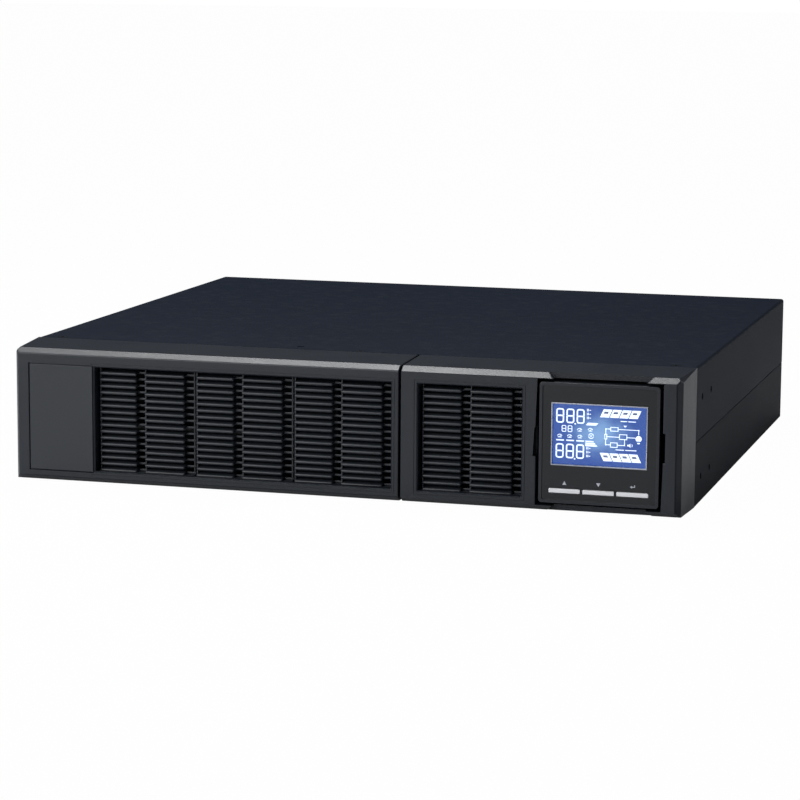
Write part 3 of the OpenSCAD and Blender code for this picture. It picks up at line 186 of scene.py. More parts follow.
class Finish(Tree):
    def __init__(self, name, constants):
        self.material = bpy.data.materials.new(name)
        self.material.use_nodes = True
        super().__init__(self.material.node_tree)
        self.shader = self.tree.nodes["Principled BSDF"]
        for socket, value in constants.items():
            self.shader.inputs[socket].default_value = value
        self.place = self.node("ShaderNodeTexCoord", out="Object")

    def feed(self, socket, value):
        self.tree.links.new(value.socket, self.shader.inputs[socket])

    # noise over the object's own metres: scale is features per metre, stretch runs them along an axis
    def noise(self, scale, detail=3.0, roughness=0.55, stretch=None):
        place = self.place
        if stretch:
            place = self.node("ShaderNodeMapping", None, {"Vector": place, "Scale": stretch})
        return self.node("ShaderNodeTexNoise", None,
                         {"Vector": place, "Scale": scale, "Detail": detail, "Roughness": roughness})

    def cells(self, scale, feature="F1"):
        return self.node("ShaderNodeTexVoronoi", {"feature": feature}, {"Vector": self.place, "Scale": scale})

    def relief(self, height, strength, distance):
        bumped = self.node("ShaderNodeBump", None,
                           {"Strength": strength, "Distance": distance, "Height": height})
        self.feed("Normal", bumped)

    # 1 on faces that look up, 0 on the others
    def facingUp(self):
        normal = self.node("ShaderNodeNewGeometry", out="Normal")
        return self.parts(normal)[2].rising(0.6, 0.95)


def scaled(colour, factor):
    return (colour[0] * factor, colour[1] * factor, colour[2] * factor, 1.0)


print("scene: finishes")


# features per metre of each layer, here and in the scales of the other finishes
coatScales = {"peel": 950, "grain": 4200, "cloud": 7, "fleck": 2600, "fleckPatch": 310, "dust": 110}
dustColour = shade(150, 146, 140)


# powder coat on sheet steel: orange peel, a fine grain in it, pale flecks, thin dust on what looks up
def powderCoat(name, look):
    paint = Finish(name, {"Specular IOR Level": look["specular"]})
    peel = paint.noise(coatScales["peel"], 2.0)
    grain = paint.noise(coatScales["grain"], 3.0, 0.7)
    cloud = paint.noise(coatScales["cloud"], 3.0)
    patches = paint.noise(coatScales["fleckPatch"], 2.0) > 0.56
    fleck = paint.cells(coatScales["fleck"]).rising(0.16, 0.05) * patches
    dust = paint.facingUp() * paint.noise(coatScales["dust"], 5.0, 0.65).rising(0.45, 0.8)
    base = paint.mixed(cloud, scaled(look["colour"], 0.86), scaled(look["colour"], 1.14))
    base = paint.mixed(grain.rising(0.35, 0.75) * 0.35, base, scaled(look["colour"], 1.5))
    base = paint.mixed(fleck * look["fleck"], base, scaled(look["colour"], 4.0))
    base = paint.mixed(dust * look["dust"], base, dustColour)
    paint.feed("Base Color", base)
    paint.feed("Roughness", look["roughness"] + (grain - 0.5) * 0.16 + (cloud - 0.5) * 0.08 + dust * 0.1)
    paint.relief(peel * 0.6 + grain * 0.4, look["peel"], 0.0002)
    return paint.material


powderCoats = {
    "cover_paint": {"colour": shade(18, 25, 37), "roughness": 0.58, "specular": 0.1, "fleck": 0.10,
                    "dust": 0.02, "peel": 0.35},
    "chassis_paint": {"colour": shade(15, 19, 28), "roughness": 0.58, "specular": 0.09, "fleck": 0.08,
                      "dust": 0.02, "peel": 0.35},
}


# painted highlight as a paler rim round a square face, and painted shade as a dark line at the foot of its step
def rimHighlightAndShade(plastic, base, colour, rim):
    x, _, z = plastic.parts(plastic.place)
    outward = abs(x - rim["centre"][0]).higher(abs(z - rim["centre"][1]))
    # painted highlight: the outer band of the face, made lighter by the rim's light factor
    rimHighlight = outward > rim["inner"]
    # painted shade: a thin band just inside the rim, darkened towards a fifth of the colour
    foot = (outward > rim["inner"] - rim["foot"]) - rimHighlight
    base = plastic.mixed(rimHighlight * 0.85, base, scaled(colour, rim["light"]))
    return plastic.mixed(foot * 0.8, base, scaled(colour, 0.2))


mouldScales = {"grain": 3200, "pits": 1920, "cloud": 12, "smear": 26}


# moulded plastic: the spark-eroded grain of its mould, slow changes of tone, faint handling sheen
def mouldedPlastic(name, look):
    plastic = Finish(name, {"Specular IOR Level": look.get("specular", 0.5), "IOR": 1.5})
    grain = plastic.noise(mouldScales["grain"], 3.0, 0.65)
    pits = plastic.cells(mouldScales["pits"])
    cloud = plastic.noise(mouldScales["cloud"], 3.0)
    smear = plastic.noise(mouldScales["smear"], 4.0, 0.6, stretch=(1.0, 1.0, 0.35)).rising(0.45, 0.8)
    base = plastic.mixed(cloud, scaled(look["colour"], 0.9), scaled(look["colour"], 1.1))
    base = plastic.mixed(grain.rising(0.4, 0.8) * 0.3, base, scaled(look["colour"], look.get("light", 1.5)))
    # a look with a rim gets a painted highlight on the rim and a painted shade line at its foot
    if "rim" in look:
        base = rimHighlightAndShade(plastic, base, look["colour"], look["rim"])
    plastic.feed("Base Color", base)
    plastic.feed("Roughness", look["roughness"] + (grain - 0.5) * 0.14 - smear * 0.05)
    plastic.relief(pits * 0.6 + grain * 0.6, look.get("relief", 0.3), 0.00012)
    return plastic.material


frameLow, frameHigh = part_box("lcd_frame")
rimWidth = 2.0 * mm
# the display frame's rim that takes the painted highlight, with the width of the painted shade line at its foot
frameRim = {
    "centre": ((frameLow.x + frameHigh.x) / 2, (frameLow.z + frameHigh.z) / 2),
    "inner": (frameHigh.x - frameLow.x) / 2 - rimWidth, "foot": 0.35 * mm, "light": 2.6,
}

plastics = {
    "bezel_plastic": {"colour": shade(31, 35, 42), "roughness": 0.38, "specular": 0.42, "relief": 0.35},
    "panel_plastic": {"colour": shade(38, 42, 48), "roughness": 0.36, "relief": 0.2},
    "louvre_plastic": {"colour": shade(38, 42, 48), "roughness": 0.4, "relief": 0.3},
    "display_plastic": {"colour": shade(15, 18, 23), "roughness": 0.34, "relief": 0.25, "rim": frameRim},
    "black_plastic": {"colour": shade(20, 21, 23), "roughness": 0.46},
    "button_plastic": {"colour": shade(238, 239, 242), "roughness": 0.38, "relief": 0.12, "light": 1.08},
    "battery_case": {"colour": shade(46, 48, 52), "roughness": 0.5},
    "connector_yellow": {"colour": shade(206, 162, 32), "roughness": 0.42, "light": 1.15},
    "rotor_plastic": {"colour": shade(30, 31, 33), "roughness": 0.38},
    "reset_plastic": {"colour": shade(28, 28, 30), "roughness": 0.36},
    "terminal_green": {"colour": shade(34, 120, 74), "roughness": 0.42, "light": 1.2},
    "relay_case": {"colour": shade(36, 72, 128), "roughness": 0.34, "light": 1.2},
    "capacitor_sleeve": {"colour": shade(30, 34, 52), "roughness": 0.28, "light": 1.2},
}


metalScales = {"lines": 900, "patch": 210, "dull": 60, "scratch": 2600}


# plated or bare metal: rolling lines along one axis, crystal patches, dull spots and fine scratches
def rolledMetal(name, look):
    metal = Finish(name, {"Metallic": look.get("metallic", 1.0), "IOR": 1.5})
    lines = metal.noise(metalScales["lines"], 3.0, 0.6, stretch=look.get("along", (0.02, 1.0, 1.0)))
    patch = metal.cells(metalScales["patch"])
    dull = metal.noise(metalScales["dull"], 4.0, 0.6).rising(0.5, 0.75)
    scratch = metal.noise(metalScales["scratch"], 2.0, 0.5, stretch=(0.01, 0.6, 0.6)).rising(0.66, 0.74)
    base = metal.mixed(patch * look.get("spangle", 0.5), look["colour"], scaled(look["colour"], 0.72))
    base = metal.mixed(dull * look.get("dull", 0.25), base, scaled(look["colour"], 0.5))
    base = metal.mixed(scratch * 0.4, base, scaled(look["colour"], 1.3))
    metal.feed("Base Color", base)
    metal.feed("Roughness", look["roughness"] + (lines - 0.5) * 0.2 + dull * 0.12)
    metal.relief(lines * 0.7 + patch * 0.3, 0.12, 0.00008)
    return metal.material


metals = {
    "zinc_steel": {"colour": shade(176, 178, 180), "roughness": 0.36},
    "black_screws": {"colour": shade(58, 59, 62), "roughness": 0.34, "metallic": 0.9, "spangle": 0.2},
    "display_trim": {"colour": shade(190, 194, 204), "roughness": 0.28, "spangle": 0.1, "dull": 0.1},
    "terminal_metal": {"colour": shade(208, 186, 140), "roughness": 0.3, "spangle": 0.2},
    "blade_metal": {"colour": shade(196, 196, 198), "roughness": 0.26, "spangle": 0.15},
    "heat_sink_aluminium": {"colour": shade(186, 188, 192), "roughness": 0.34, "along": (1.0, 0.02, 1.0)},
}


boardScales = {"weave": 60.0, "tracks": 190, "via": 420, "viaPatch": 70, "sheen": 60, "grain": 3000}
boardColours = {"mask": shade(14, 62, 38), "track": shade(30, 96, 58), "pad": shade(196, 170, 104)}


# solder mask over copper: cells of tracks, vias and pads in patches, a faint weave, grain in the relief
def circuitBoard(name):
    board = Finish(name, {"Coat Weight": 0.4, "Coat Roughness": 0.15})
    weave = board.node("ShaderNodeTexBrick", {"offset": 0.5, "squash": 1.0},
                       {"Vector": board.place, "Color1": (1, 1, 1, 1), "Color2": (0.6, 0.6, 0.6, 1),
                        "Mortar": (0, 0, 0, 1), "Scale": boardScales["weave"], "Mortar Size": 0.03})
    tracks = board.cells(boardScales["tracks"], "DISTANCE_TO_EDGE").rising(0.05, 0.02)
    viaPatch = board.noise(boardScales["viaPatch"], 2.0) > 0.5
    via = board.cells(boardScales["via"]).rising(0.12, 0.08) * viaPatch
    base = board.mixed(tracks * 0.75, boardColours["mask"], boardColours["track"])
    base = board.mixed(0.12, base, weave, "MULTIPLY")
    base = board.mixed(via, base, boardColours["pad"])
    board.feed("Base Color", base)
    board.feed("Roughness", 0.35 + via * 0.1 + (board.noise(boardScales["sheen"]) - 0.5) * 0.1)
    board.relief(tracks * 0.7 + board.noise(boardScales["grain"], 2.0) * 0.2, 0.3, 0.00008)
    return board.material


windingLook = {"gap": shade(92, 44, 18), "wire": shade(188, 104, 52), "speck": shade(46, 28, 18),
               "turns": 380.0, "specks": 1500}


# enamelled copper turns with painted shade in the gaps between them, and dark specks of varnish
def coreWinding(name):
    coil = Finish(name, {})
    turns = coil.node("ShaderNodeTexWave", {"bands_direction": "Z", "wave_profile": "SIN"},
                      {"Vector": coil.place, "Scale": windingLook["turns"], "Distortion": 0.4, "Detail": 1.0})
    speck = coil.noise(windingLook["specks"], 3.0)
    # painted shade: the gaps between the turns take a darker copper
    base = coil.mixed(turns, windingLook["gap"], windingLook["wire"])
    base = coil.mixed(speck.rising(0.6, 0.8) * 0.4, base, windingLook["speck"])
    coil.feed("Base Color", base)
    coil.feed("Roughness", 0.34 + speck * 0.15)
    coil.relief(turns, 0.5, 0.0003)
    return coil.material


# lit panel: brightest left of the middle, deeper blue towards the edges, faintly mottled
litPanel = {
    "middle": shade(140, 180, 222), "rim": shade(50, 84, 160),
    "mottle": shade(60, 92, 170), "unlit": (shade(20, 30, 60), shade(30, 44, 80)),
    "centre": (0.1665, 0.0500), "reach": 0.022, "squat": 0.72,
}


def litGlass(name, look):
    glass = Finish(name, {"Roughness": 0.3, "Emission Strength": 1.0, "Specular IOR Level": 0.2})
    x, _, z = glass.parts(glass.place)
    across = (x - look["centre"][0]) / look["reach"]
    upward = (z - look["centre"][1]) / (look["reach"] * look["squat"])
    distance = (across * across + upward * upward).root()
    mottle = glass.noise(160, 3.0)
    glow = 1 - (distance + (mottle - 0.5) * 0.5).rising(0.0, 1.1)
    colour = glass.mixed(glow, look["rim"], look["middle"])
    colour = glass.mixed((mottle - 0.5) * 0.2 + 0.1, colour, look["mottle"])
    glass.feed("Emission Color", colour)
    glass.feed("Base Color", glass.mixed(glow, *look["unlit"]))
    return glass.material


def clearLens(name):
    lens = Finish(name, {"Transmission Weight": 1.0, "IOR": 1.3, "Specular IOR Level": 0.3})
    haze = lens.noise(90, 3.0)
    lens.feed("Base Color", lens.mixed(haze, shade(250, 252, 255), shade(240, 246, 252)))
    lens.feed("Roughness", 0.02 + haze.rising(0.55, 0.8) * 0.05)
    return lens.material


# printed or lit mark: an even colour with the soft grain of its ink
def inkFinish(name, colour, glow):
    ink = Finish(name, {"Emission Strength": glow, "Roughness": 0.5})
    grain = ink.noise(900, 3.0)
    tone = ink.mixed(grain, scaled(colour, 0.92), colour)
    ink.feed("Base Color", tone)
    ink.feed("Emission Color", tone)
    return ink.material


finishes = {slot: powderCoat("coat." + slot, look) for slot, look in powderCoats.items()}
finishes.update({slot: mouldedPlastic("moulded." + slot, look) for slot, look in plastics.items()})
finishes.update({slot: rolledMetal("metal." + slot, look) for slot, look in metals.items()})
finishes["circuit_board"] = circuitBoard("board.mask")
finishes["core_winding"] = coreWinding("core.winding")
finishes["display_glass"] = litGlass("display.lit", litPanel)
finishes["display_lens"] = clearLens("display.lens")
segmentFinish = inkFinish("display.segments", shade(232, 240, 252), 0.95)
segmentInk = inkFinish("display.ink", shade(84, 92, 120), 0.7)
symbolFinish = inkFinish("display.symbols", shade(196, 200, 210), 0.0)

for nodeName, node in frame["nodes"].items():
    node.material_slots[0].material = finishes[nodeSlot[nodeName]]
# the tray takes the dark chassis coat as painted shade, since its front shows between the louvres
frame["nodes"]["battery_tray"].material_slots[0].material = finishes["chassis_paint"]


print("scene: floor and world")


# white to the camera, also through clear plastic, and faintly white to mirrors; a plain pale floor to
# all other light; mirrors see a black card on it at the right of the front, which keeps the upright
# corner bevel dark
def floorFinish(look):
    tree = Finish("floor.white", {"Roughness": 0.9})
    speck = tree.noise(30, 3.0)
    path = tree.node("ShaderNodeLightPath").socket.node.outputs
    x, y, _ = tree.parts(tree.place)
    card = x.rising(*look["cardFromX"]) * (0 - y).rising(*look["cardFromY"])
    glossy = Wire(tree, path["Is Glossy Ray"])
    pale = tree.mixed(speck, look["pale"], scaled(look["pale"], 0.97))
    tree.feed("Base Color", tree.mixed(glossy * card, pale, look["card"]))
    seen = Wire(tree, path["Is Camera Ray"]) + Wire(tree, path["Is Transmission Ray"])
    seen = (seen * look["cameraShare"] + glossy * (1 - card) * look["glossyShare"]).lower(1.0)
    white = tree.node("ShaderNodeEmission", None, {"Color": (1, 1, 1, 1), "Strength": 1.0})
    both = tree.node("ShaderNodeMixShader", None, {0: seen, 1: Wire(tree, tree.shader.outputs[0]), 2: white})
    output = tree.tree.nodes["Material Output"]
    tree.tree.links.new(both.socket, output.inputs["Surface"])
    return tree.material


floorLook = {
    "pale": shade(186, 187, 190), "half": 14.0, "level": -0.0002, "cells": 2,
    "cameraShare": 0.985, "glossyShare": 0.1,
    "card": (0.002, 0.002, 0.002, 1.0), "cardFromX": (0.222, 0.24), "cardFromY": (0.17, 0.2),
}


# level square of cells round the origin
def makeFloor(look):
    along = np.linspace(-look["half"], look["half"], look["cells"] + 1)
    gridX, gridY = np.meshgrid(along, along)
    points = np.stack([gridX, gridY, np.full_like(gridX, look["level"])], -1).reshape(-1, 3)
    index = np.arange(gridX.size).reshape(gridX.shape)
    quads = np.stack([index[:-1, :-1], index[:-1, 1:], index[1:, 1:], index[1:, :-1]], -1).reshape(-1, 4)
    mesh = bpy.data.meshes.new("floor")
    mesh.from_pydata(points.tolist(), [], quads.tolist())
    mesh.materials.append(floorFinish(look))
    floor = bpy.data.objects.new("floor", mesh)
    bpy.context.scene.collection.objects.link(floor)


makeFloor(floorLook)

worldLook = {"low": (0.021, 0.026, 0.034, 1.0), "high": (0.2, 0.205, 0.215, 1.0), "from": 0.3, "to": 0.9}


# white behind the object, and a studio that is dim near the floor and lighter overhead for all other rays
def makeWorld(look):
    world = bpy.data.worlds.new("studio")
    world.use_nodes = True
    tree = Tree(world.node_tree)
    direction = tree.node("ShaderNodeTexCoord", out="Generated")
    height = tree.parts(direction)[2]
    tone = tree.mixed(height.rising(look["from"], look["to"]), look["low"], look["high"])
    studio = tree.node("ShaderNodeBackground", None, {"Color": tone, "Strength": 1.0})
    white = tree.node("ShaderNodeBackground", None, {"Color": (1, 1, 1, 1), "Strength": 1.0})
    seen = tree.node("ShaderNodeLightPath", out="Is Camera Ray")
    both = tree.node("ShaderNodeMixShader", None, {0: seen, 1: studio, 2: white})
    world.node_tree.links.new(both.socket, world.node_tree.nodes["World Output"].inputs["Surface"])
    bpy.context.scene.world = world


makeWorld(worldLook)
bpy.context.scene.view_settings.view_transform = "Standard"


# true where an edge is longer than three bevels and both faces beside it are wider than two, so that
# rounding has room
def hasRoom(edge, width):
    length = edge.calc_length()
    wide = all(2 * face.calc_area() / length > 2.0 * width for face in edge.link_faces)
    return wide and length > 3.0 * width


# the lower outer corner of a bezel, on either side, brought down to the level of its bottom so that
# it stands square
lowerCorner = {"place": (0.2178, -0.2005, 0.00366), "down": 0.0012, "near": 0.0001}


def squareCorners(made, look):
    for vert in made.verts:
        if (Vector((abs(vert.co.x), vert.co.y, vert.co.z)) - Vector(look["place"])).length < look["near"]:
            vert.co.z = look["down"]


# how far an edge turns, in degrees, before it is shaded as a crease and before it is rounded
edgeLook = {"crease": 28.0, "sharp": 28.0, "sharpBezel": 50.0, "segments": 2, "flatsWeight": 90}


# a node's own shape with its long sharp edges rounded; the other sharp edges stay crisp;
# a flat piece keeps plain faces, the others are smooth across their rounded edges
def rounded(name, width, sharp, flat):
    mesh = frame["nodes"][name].data.copy()
    mesh.name = name + "Edged"
    made = bmesh.new()
    made.from_mesh(mesh)
    bmesh.ops.remove_doubles(made, verts=made.verts, dist=1e-6)
    if "bezel" in name:
        squareCorners(made, lowerCorner)
    weight = made.edges.layers.float.new("bevel_weight_edge")
    for edge in made.edges:
        turned = math.degrees(edge.calc_face_angle(0.0))
        if turned > sharp and hasRoom(edge, width):
            edge[weight] = 1.0
        edge.smooth = turned < edgeLook["crease"]
    for face in made.faces:
        face.smooth = not flat
    made.to_mesh(mesh)
    made.free()
    piece = bpy.data.objects.new(name + "Edged", mesh)
    bpy.context.scene.collection.objects.link(piece)
    bevel = piece.modifiers.new("edges", "BEVEL")
    bevel.limit_method = "WEIGHT"
    bevel.width = width
    bevel.segments = edgeLook["segments"]
    bevel.use_clamp_overlap = False
    bevel.loop_slide = False
    bevel.harden_normals = not flat
    if not flat:
        flats = piece.modifiers.new("flats", "WEIGHTED_NORMAL")
        flats.mode = "FACE_AREA"
        flats.weight = edgeLook["flatsWeight"]
        flats.keep_sharp = True
    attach(piece, nodeBody[name])
    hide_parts(name)


print("scene: rounded edges")
edgeWidths = {
    "battery_bezel": 0.5, "main_bezel": 0.5, "name_panel": 0.25, "top_cover": 0.8, "base_chassis": 0.5,
    "lcd_frame": 0.2, "lcd_trim": 0.15, "lcd_lens": 0.2, "button_left": 0.35, "button_middle": 0.35,
    "button_right": 0.35, "rear_panel": 0.25, "outlets": 0.3, "ac_inlet": 0.35, "dc_connector": 0.35,
    "slot_cover": 0.25, "signal_ports": 0.15, "surge_ports": 0.25, "epo_terminal": 0.25,
    "breaker_body": 0.3, "breaker_button": 0.3, "battery_tray": 0.3, "lcd_back_cover": 0.35,
}
flatSided = ("lcd_frame", "battery_bezel", "main_bezel")
for edgedName, edgeWidth in edgeWidths.items():
    edgeSharp = edgeLook["sharpBezel" if "bezel" in edgedName else "sharp"]
    rounded(edgedName, edgeWidth * mm, edgeSharp, edgedName in flatSided)


# rings is (rows, points, 3): each row is a closed outline, neighbouring rows are joined by quads
# and the first and last rows are capped, so the surface is closed
def ringSurface(rings):
    rows, points = rings.shape[:2]
    index = np.arange(rows * points).reshape(rows, points)
    near, far = index[:-1], index[1:]
    quads = np.stack([near, np.roll(near, -1, 1), np.roll(far, -1, 1), far], -1).reshape(-1, 4)
    return rings.reshape(-1, 3), quads.tolist() + [index[0][::-1].tolist(), index[-1].tolist()]


# one object from several closed surfaces, with its faces turned outwards; edges that turn less than
# smooth, in degrees, are shaded as one face
def makePiece(name, surfaces, body, finish, smooth=0.0):
    starts = np.cumsum([0] + [len(points) for points, _ in surfaces])
    points = np.concatenate([points for points, _ in surfaces])
    faces = [[int(start) + i for i in face] for start, (_, quads) in zip(starts, surfaces) for face in quads]
    mesh = bpy.data.meshes.new(name)
    mesh.from_pydata(points.tolist(), [], faces)
    made = bmesh.new()
    made.from_mesh(mesh)
    bmesh.ops.remove_doubles(made, verts=made.verts, dist=1e-7)
    bmesh.ops.recalc_face_normals(made, faces=made.faces)
    for edge in made.edges:
        edge.smooth = math.degrees(edge.calc_face_angle(0.0)) < smooth
    for face in made.faces:
        face.smooth = smooth > 0
    made.to_mesh(mesh)
    made.free()
    mesh.materials.append(finish)
    piece = bpy.data.objects.new(name, mesh)
    bpy.context.scene.collection.objects.link(piece)
    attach(piece, body)
    return piece


print("scene: louvres")
louvre = {
    "count": 16, "first": 1.4, "step": 4.2, "height": 2.3, "depth": 6.0, "rise": 1.2,
    "columns": ((0.15, 25.4), (30.8, 57.9)), "endSize": 0.25, "tailThinner": 0.4,
    "uprights": ((0.0, 1.5), (30.7, 1.7), (62.6, 5.0)), "upright": 1.0,
    "barFront": 5.0, "barThinner": 0.45, "barRound": 0.25, "rail": 1.2, "railRound": 0.3,
}


# slat: a round-nosed section carried along X, which shrinks in a quarter circle at both ends
def slatSurface(x0, x1, front, z, look):
    half = look["height"] / 2 * mm
    lift = look["rise"] * mm
    back = front + look["depth"] * mm
    turn = np.linspace(0.0, 1.0, 5)
    inset = half * (1 - np.cos(turn * math.pi / 2))[::-1]
    size = np.sqrt(np.clip(1 - (1 - np.clip(inset / half, 0.0, 1.0)) ** 2, 0.0, 1.0))
    size = size * (1 - look["endSize"]) + look["endSize"]
    along = np.concatenate([x0 + inset[::-1], x1 - inset])
    size = np.concatenate([size[::-1], size])
    nose = np.radians(np.linspace(90, 270, 9))
    noseY = half + half * np.cos(nose)[None, :] * size[:, None]
    noseZ = half * np.sin(nose)[None, :] * size[:, None]
    tailY = np.full((len(along), 2), back - front)
    tailZ = lift + np.array([[-1.0, 1.0]]) * (half - look["tailThinner"] * mm) * size[:, None]
    y = np.concatenate([noseY, tailY], 1) + front
    up = np.concatenate([noseZ, tailZ], 1) + z
    x = np.repeat(along[:, None], y.shape[1], 1)
    return ringSurface(np.stack([x, y, up], -1))


# bar with a rectangular section between two corners, its front edges rounded by a quarter circle;
# axis is 0 for a bar along X and 2 for one along Z
def barSurface(low, high, radius, axis):
    low, high = np.array(low), np.array(high)
    other = 0 if axis == 2 else 2
    angle = np.radians(np.linspace(180, 270, 4))
    side = np.concatenate([[low[other]], low[other] + radius + radius * np.cos(angle),
                           high[other] - radius - radius * np.cos(angle[::-1]), [high[other]]])
    deep = np.concatenate([[high[1]], low[1] + radius + radius * np.sin(angle),
                           low[1] + radius + radius * np.sin(angle[::-1]), [high[1]]])
    rings = np.zeros((2, len(side), 3))
    rings[:, :, other] = side
    rings[:, :, 1] = deep
    rings[:, :, axis] = np.array([low[axis], high[axis]])[:, None]
    return ringSurface(rings)


def makeLouvre(number, look):
    name = f"louvre_insert_{number}"
    low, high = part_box(name)
    zs = low.z + (look["first"] + np.arange(look["count"]) * look["step"]) * mm
    surfaces = [slatSurface(low.x + start * mm, low.x + end * mm, low.y, z, look)
                for start, end in look["columns"] for z in zs]
    barHalf = (look["height"] / 2 - look["barThinner"]) * mm
    barY = low.y + look["barFront"] * mm
    for z in zs + look["rise"] / 2 * mm:
        surfaces.append(barSurface((low.x, barY, z - barHalf), (high.x, high.y, z + barHalf),
                                   look["barRound"] * mm, 0))
    for x, setBack in look["uprights"]:
        left = low.x + x * mm
        surfaces.append(barSurface((left, low.y + setBack * mm, low.z),
                                   (left + look["upright"] * mm, high.y, high.z), look["railRound"] * mm, 2))
    for z in (low.z, high.z - look["rail"] * mm):
        surfaces.append(barSurface((low.x, low.y, z), (high.x, high.y, z + look["rail"] * mm),
                                   look["railRound"] * mm, 0))
    slot = nodeSlot[name]
    piece = makePiece(f"louvreSlats{number}", surfaces, nodeBody[name], finishes[slot], smooth=35.0)
    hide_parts(name)


for louvreNumber in range(1, 5):
    makeLouvre(louvreNumber, louvre)


print("scene: display")
windowLow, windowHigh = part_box("lcd_lens")
windowX, windowZ = (windowLow.x + windowHigh.x) / 2, (windowLow.z + windowHigh.z) / 2
segmentLook = {
    "back": windowHigh.y + 0.38 * mm, "front": windowHigh.y + 0.12 * mm,
    "inkProud": 0.04 * mm, "inkSunk": 0.02 * mm,
}


# plate with the outline's shape, a list of (x, z) in millimetres from an origin, between two depths
def plateSurface(outline, originX, originZ, front, back):
    flat = np.array(outline, float) * mm + np.array([originX, originZ])
    rings = np.stack([np.stack([flat[:, 0], np.full(len(flat), y), flat[:, 1]], -1) for y in (back, front)])
    return ringSurface(rings)


# the display's marks in millimetres from the middle of the window: digits are seven-segment eights
# with rounded outer corners, meters are four slanted blocks with a dark mark in each; frames are
# (x, z, width, height) and wires (x, z, x, z)
displayMarks = {
    "digits": {"x": -27.4, "pitch": 6.4, "rows": (6.6, -15.2), "size": (5.0, 9.3), "thick": 0.85,
               "count": 3},
    "small": {"x": -23.8, "pitch": 3.8, "rows": (1.2,), "size": (2.8, 4.2), "thick": 0.42, "count": 2},
    "meters": ((0.0, 11.4, 2.2), (2.6, -15.6, -2.4)),
    "block": {"size": (5.4, 5.0), "pitch": 5.95, "count": 4},
    "ink": {"right": 1.2, "up": 0.46, "size": (2.7, 1.3), "slant": 0.2},
    "frames": ((6.5, 3.0, 5.0, 2.7), (2.9, -2.1, 1.7, 3.3), (12.0, -1.9, 5.0, 3.4), (6.5, -7.0, 4.6, 3.2)),
    "wires": ((3.7, 1.2, 3.7, 4.4), (3.7, 4.4, 6.5, 4.4), (11.5, 4.4, 24.1, 4.4), (24.1, 4.4, 24.1, 1.6),
              (4.6, -0.4, 12.0, -0.4), (17.0, -0.4, 22.0, -0.4), (3.7, -2.1, 3.7, -5.4),
              (3.7, -5.4, 6.5, -5.4), (11.1, -5.4, 15.4, -5.4), (15.4, -5.4, 15.4, -1.9)),
    "line": 0.42,
}

# small drawings, each copied to its places. From a place, in millimetres: boxes are (x, z, width,
# height) and some a slant, discs (x, z, radius, start, stop, steps), bands (x, z, inner, outer,
# start, stop, steps) with the turns in degrees, and shapes are lists of points
displayDrawings = {
    "dots": {"places": ((-15.4, 6.5), (-15.4, -15.2)), "discs": ((0.0, 0.0, 0.5, 0, 324, 10),)},
    "units": {
        "places": ((-8.2, 14.6), (-8.2, 12.2), (-8.2, 9.8), (-8.2, -9.0), (-8.2, -11.4), (-8.2, -13.8)),
        "boxes": ((0.0, 0.0, 0.4, 1.5), (0.8, 0.0, 0.4, 1.5), (1.6, 0.5, 0.9, 0.4)),
    },
    "icons": {
        "places": ((-25.0, -1.6), (-18.8, -1.6), (-12.4, -1.6), (-12.6, 2.6), (-5.9, 3.0)),
        "bands": ((0.0, -0.3, 1.3, 1.7, 20, 160, 9),),
        "boxes": ((-1.2, -0.7, 2.4, 0.4), (-0.2, -0.3, 0.4, 0.9, 0.5)),
    },
    "bars": {
        "places": ((-27.2, -4.3), (-20.9, -4.3), (-14.6, -4.3)),
        "boxes": ((0.0, 0.0, 4.9, 0.75),),
    },
    "labels": {
        "places": ((0.0, 0.0),),
        "boxes": ((-8.8, 6.0, 6.4, 1.6, 1.4), (-8.6, -4.4, 5.0, 0.8, -0.4), (-8.6, -5.7, 6.0, 0.9, -0.5),
                  (-8.6, -7.0, 7.2, 1.0, -0.6), (12.8, 9.2, 4.0, 0.5), (17.6, 9.2, 4.6, 0.5),
                  (10.0, -8.5, 5.2, 0.5), (16.0, -8.5, 6.8, 0.5)),
    },
    "lamp": {
        "places": ((24.1, -0.9),),
        "discs": ((0.0, 0.0, 1.9, -50, 230, 15),),
        "boxes": ((-0.7, -3.1, 1.4, 0.8),),
    },
    "speaker": {
        "places": ((18.6, -5.2),),
        "boxes": ((-1.4, -0.5, 0.9, 1.0),),
        "shapes": (((-0.4, -0.5), (0.5, -1.3), (0.5, 1.3), (-0.4, 0.5)),),
        "bands": ((0.3, 0.0, 1.2, 1.5, -40, 40, 6),),
    },
    "ring": {
        "places": ((-5.4, -0.6),),
        "bands": ((0.0, 0.0, 1.25, 1.7, 10, 170, 12), (0.0, 0.0, 1.25, 1.7, 190, 350, 12)),
        "discs": ((0.0, 0.0, 0.5, 0, 315, 8),),
    },
    "flag": {"places": ((15.6, 5.9),), "shapes": (((-1.0, 1.0), (0.0, -0.2), (1.2, 1.0)),)},
}


def turnPoints(x, z, radius, start, stop, steps):
    angle = np.radians(np.linspace(start, stop, steps))
    return list(zip(x + radius * np.cos(angle), z + radius * np.sin(angle)))


def boxOutline(x, z, width, height, slant=0.0):
    return [(x, z), (x + width, z), (x + width + slant, z + height), (x + slant, z + height)]


def frameOutlines(x, z, width, height, thick):
    return [boxOutline(x, z, width, thick), boxOutline(x, z + height - thick, width, thick),
            boxOutline(x, z + thick, thick, height - 2 * thick),
            boxOutline(x + width - thick, z + thick, thick, height - 2 * thick)]


def lineOutline(x0, z0, x1, z1, thick):
    half = thick / 2
    return boxOutline(min(x0, x1) - half, min(z0, z1) - half, abs(x1 - x0) + thick, abs(z1 - z0) + thick)


# arc between two radii about a centre: out along the outer one, back along the inner one
def bandOutline(x, z, inner, outer, start, stop, steps):
    return turnPoints(x, z, outer, start, stop, steps) + turnPoints(x, z, inner, stop, start, steps)


# shares of a digit's stroke and of its smaller side: the gap between bars and the corner's radius
digitLook = {"gap": 0.16, "turn": 0.34, "leastInner": 0.02, "steps": 6}


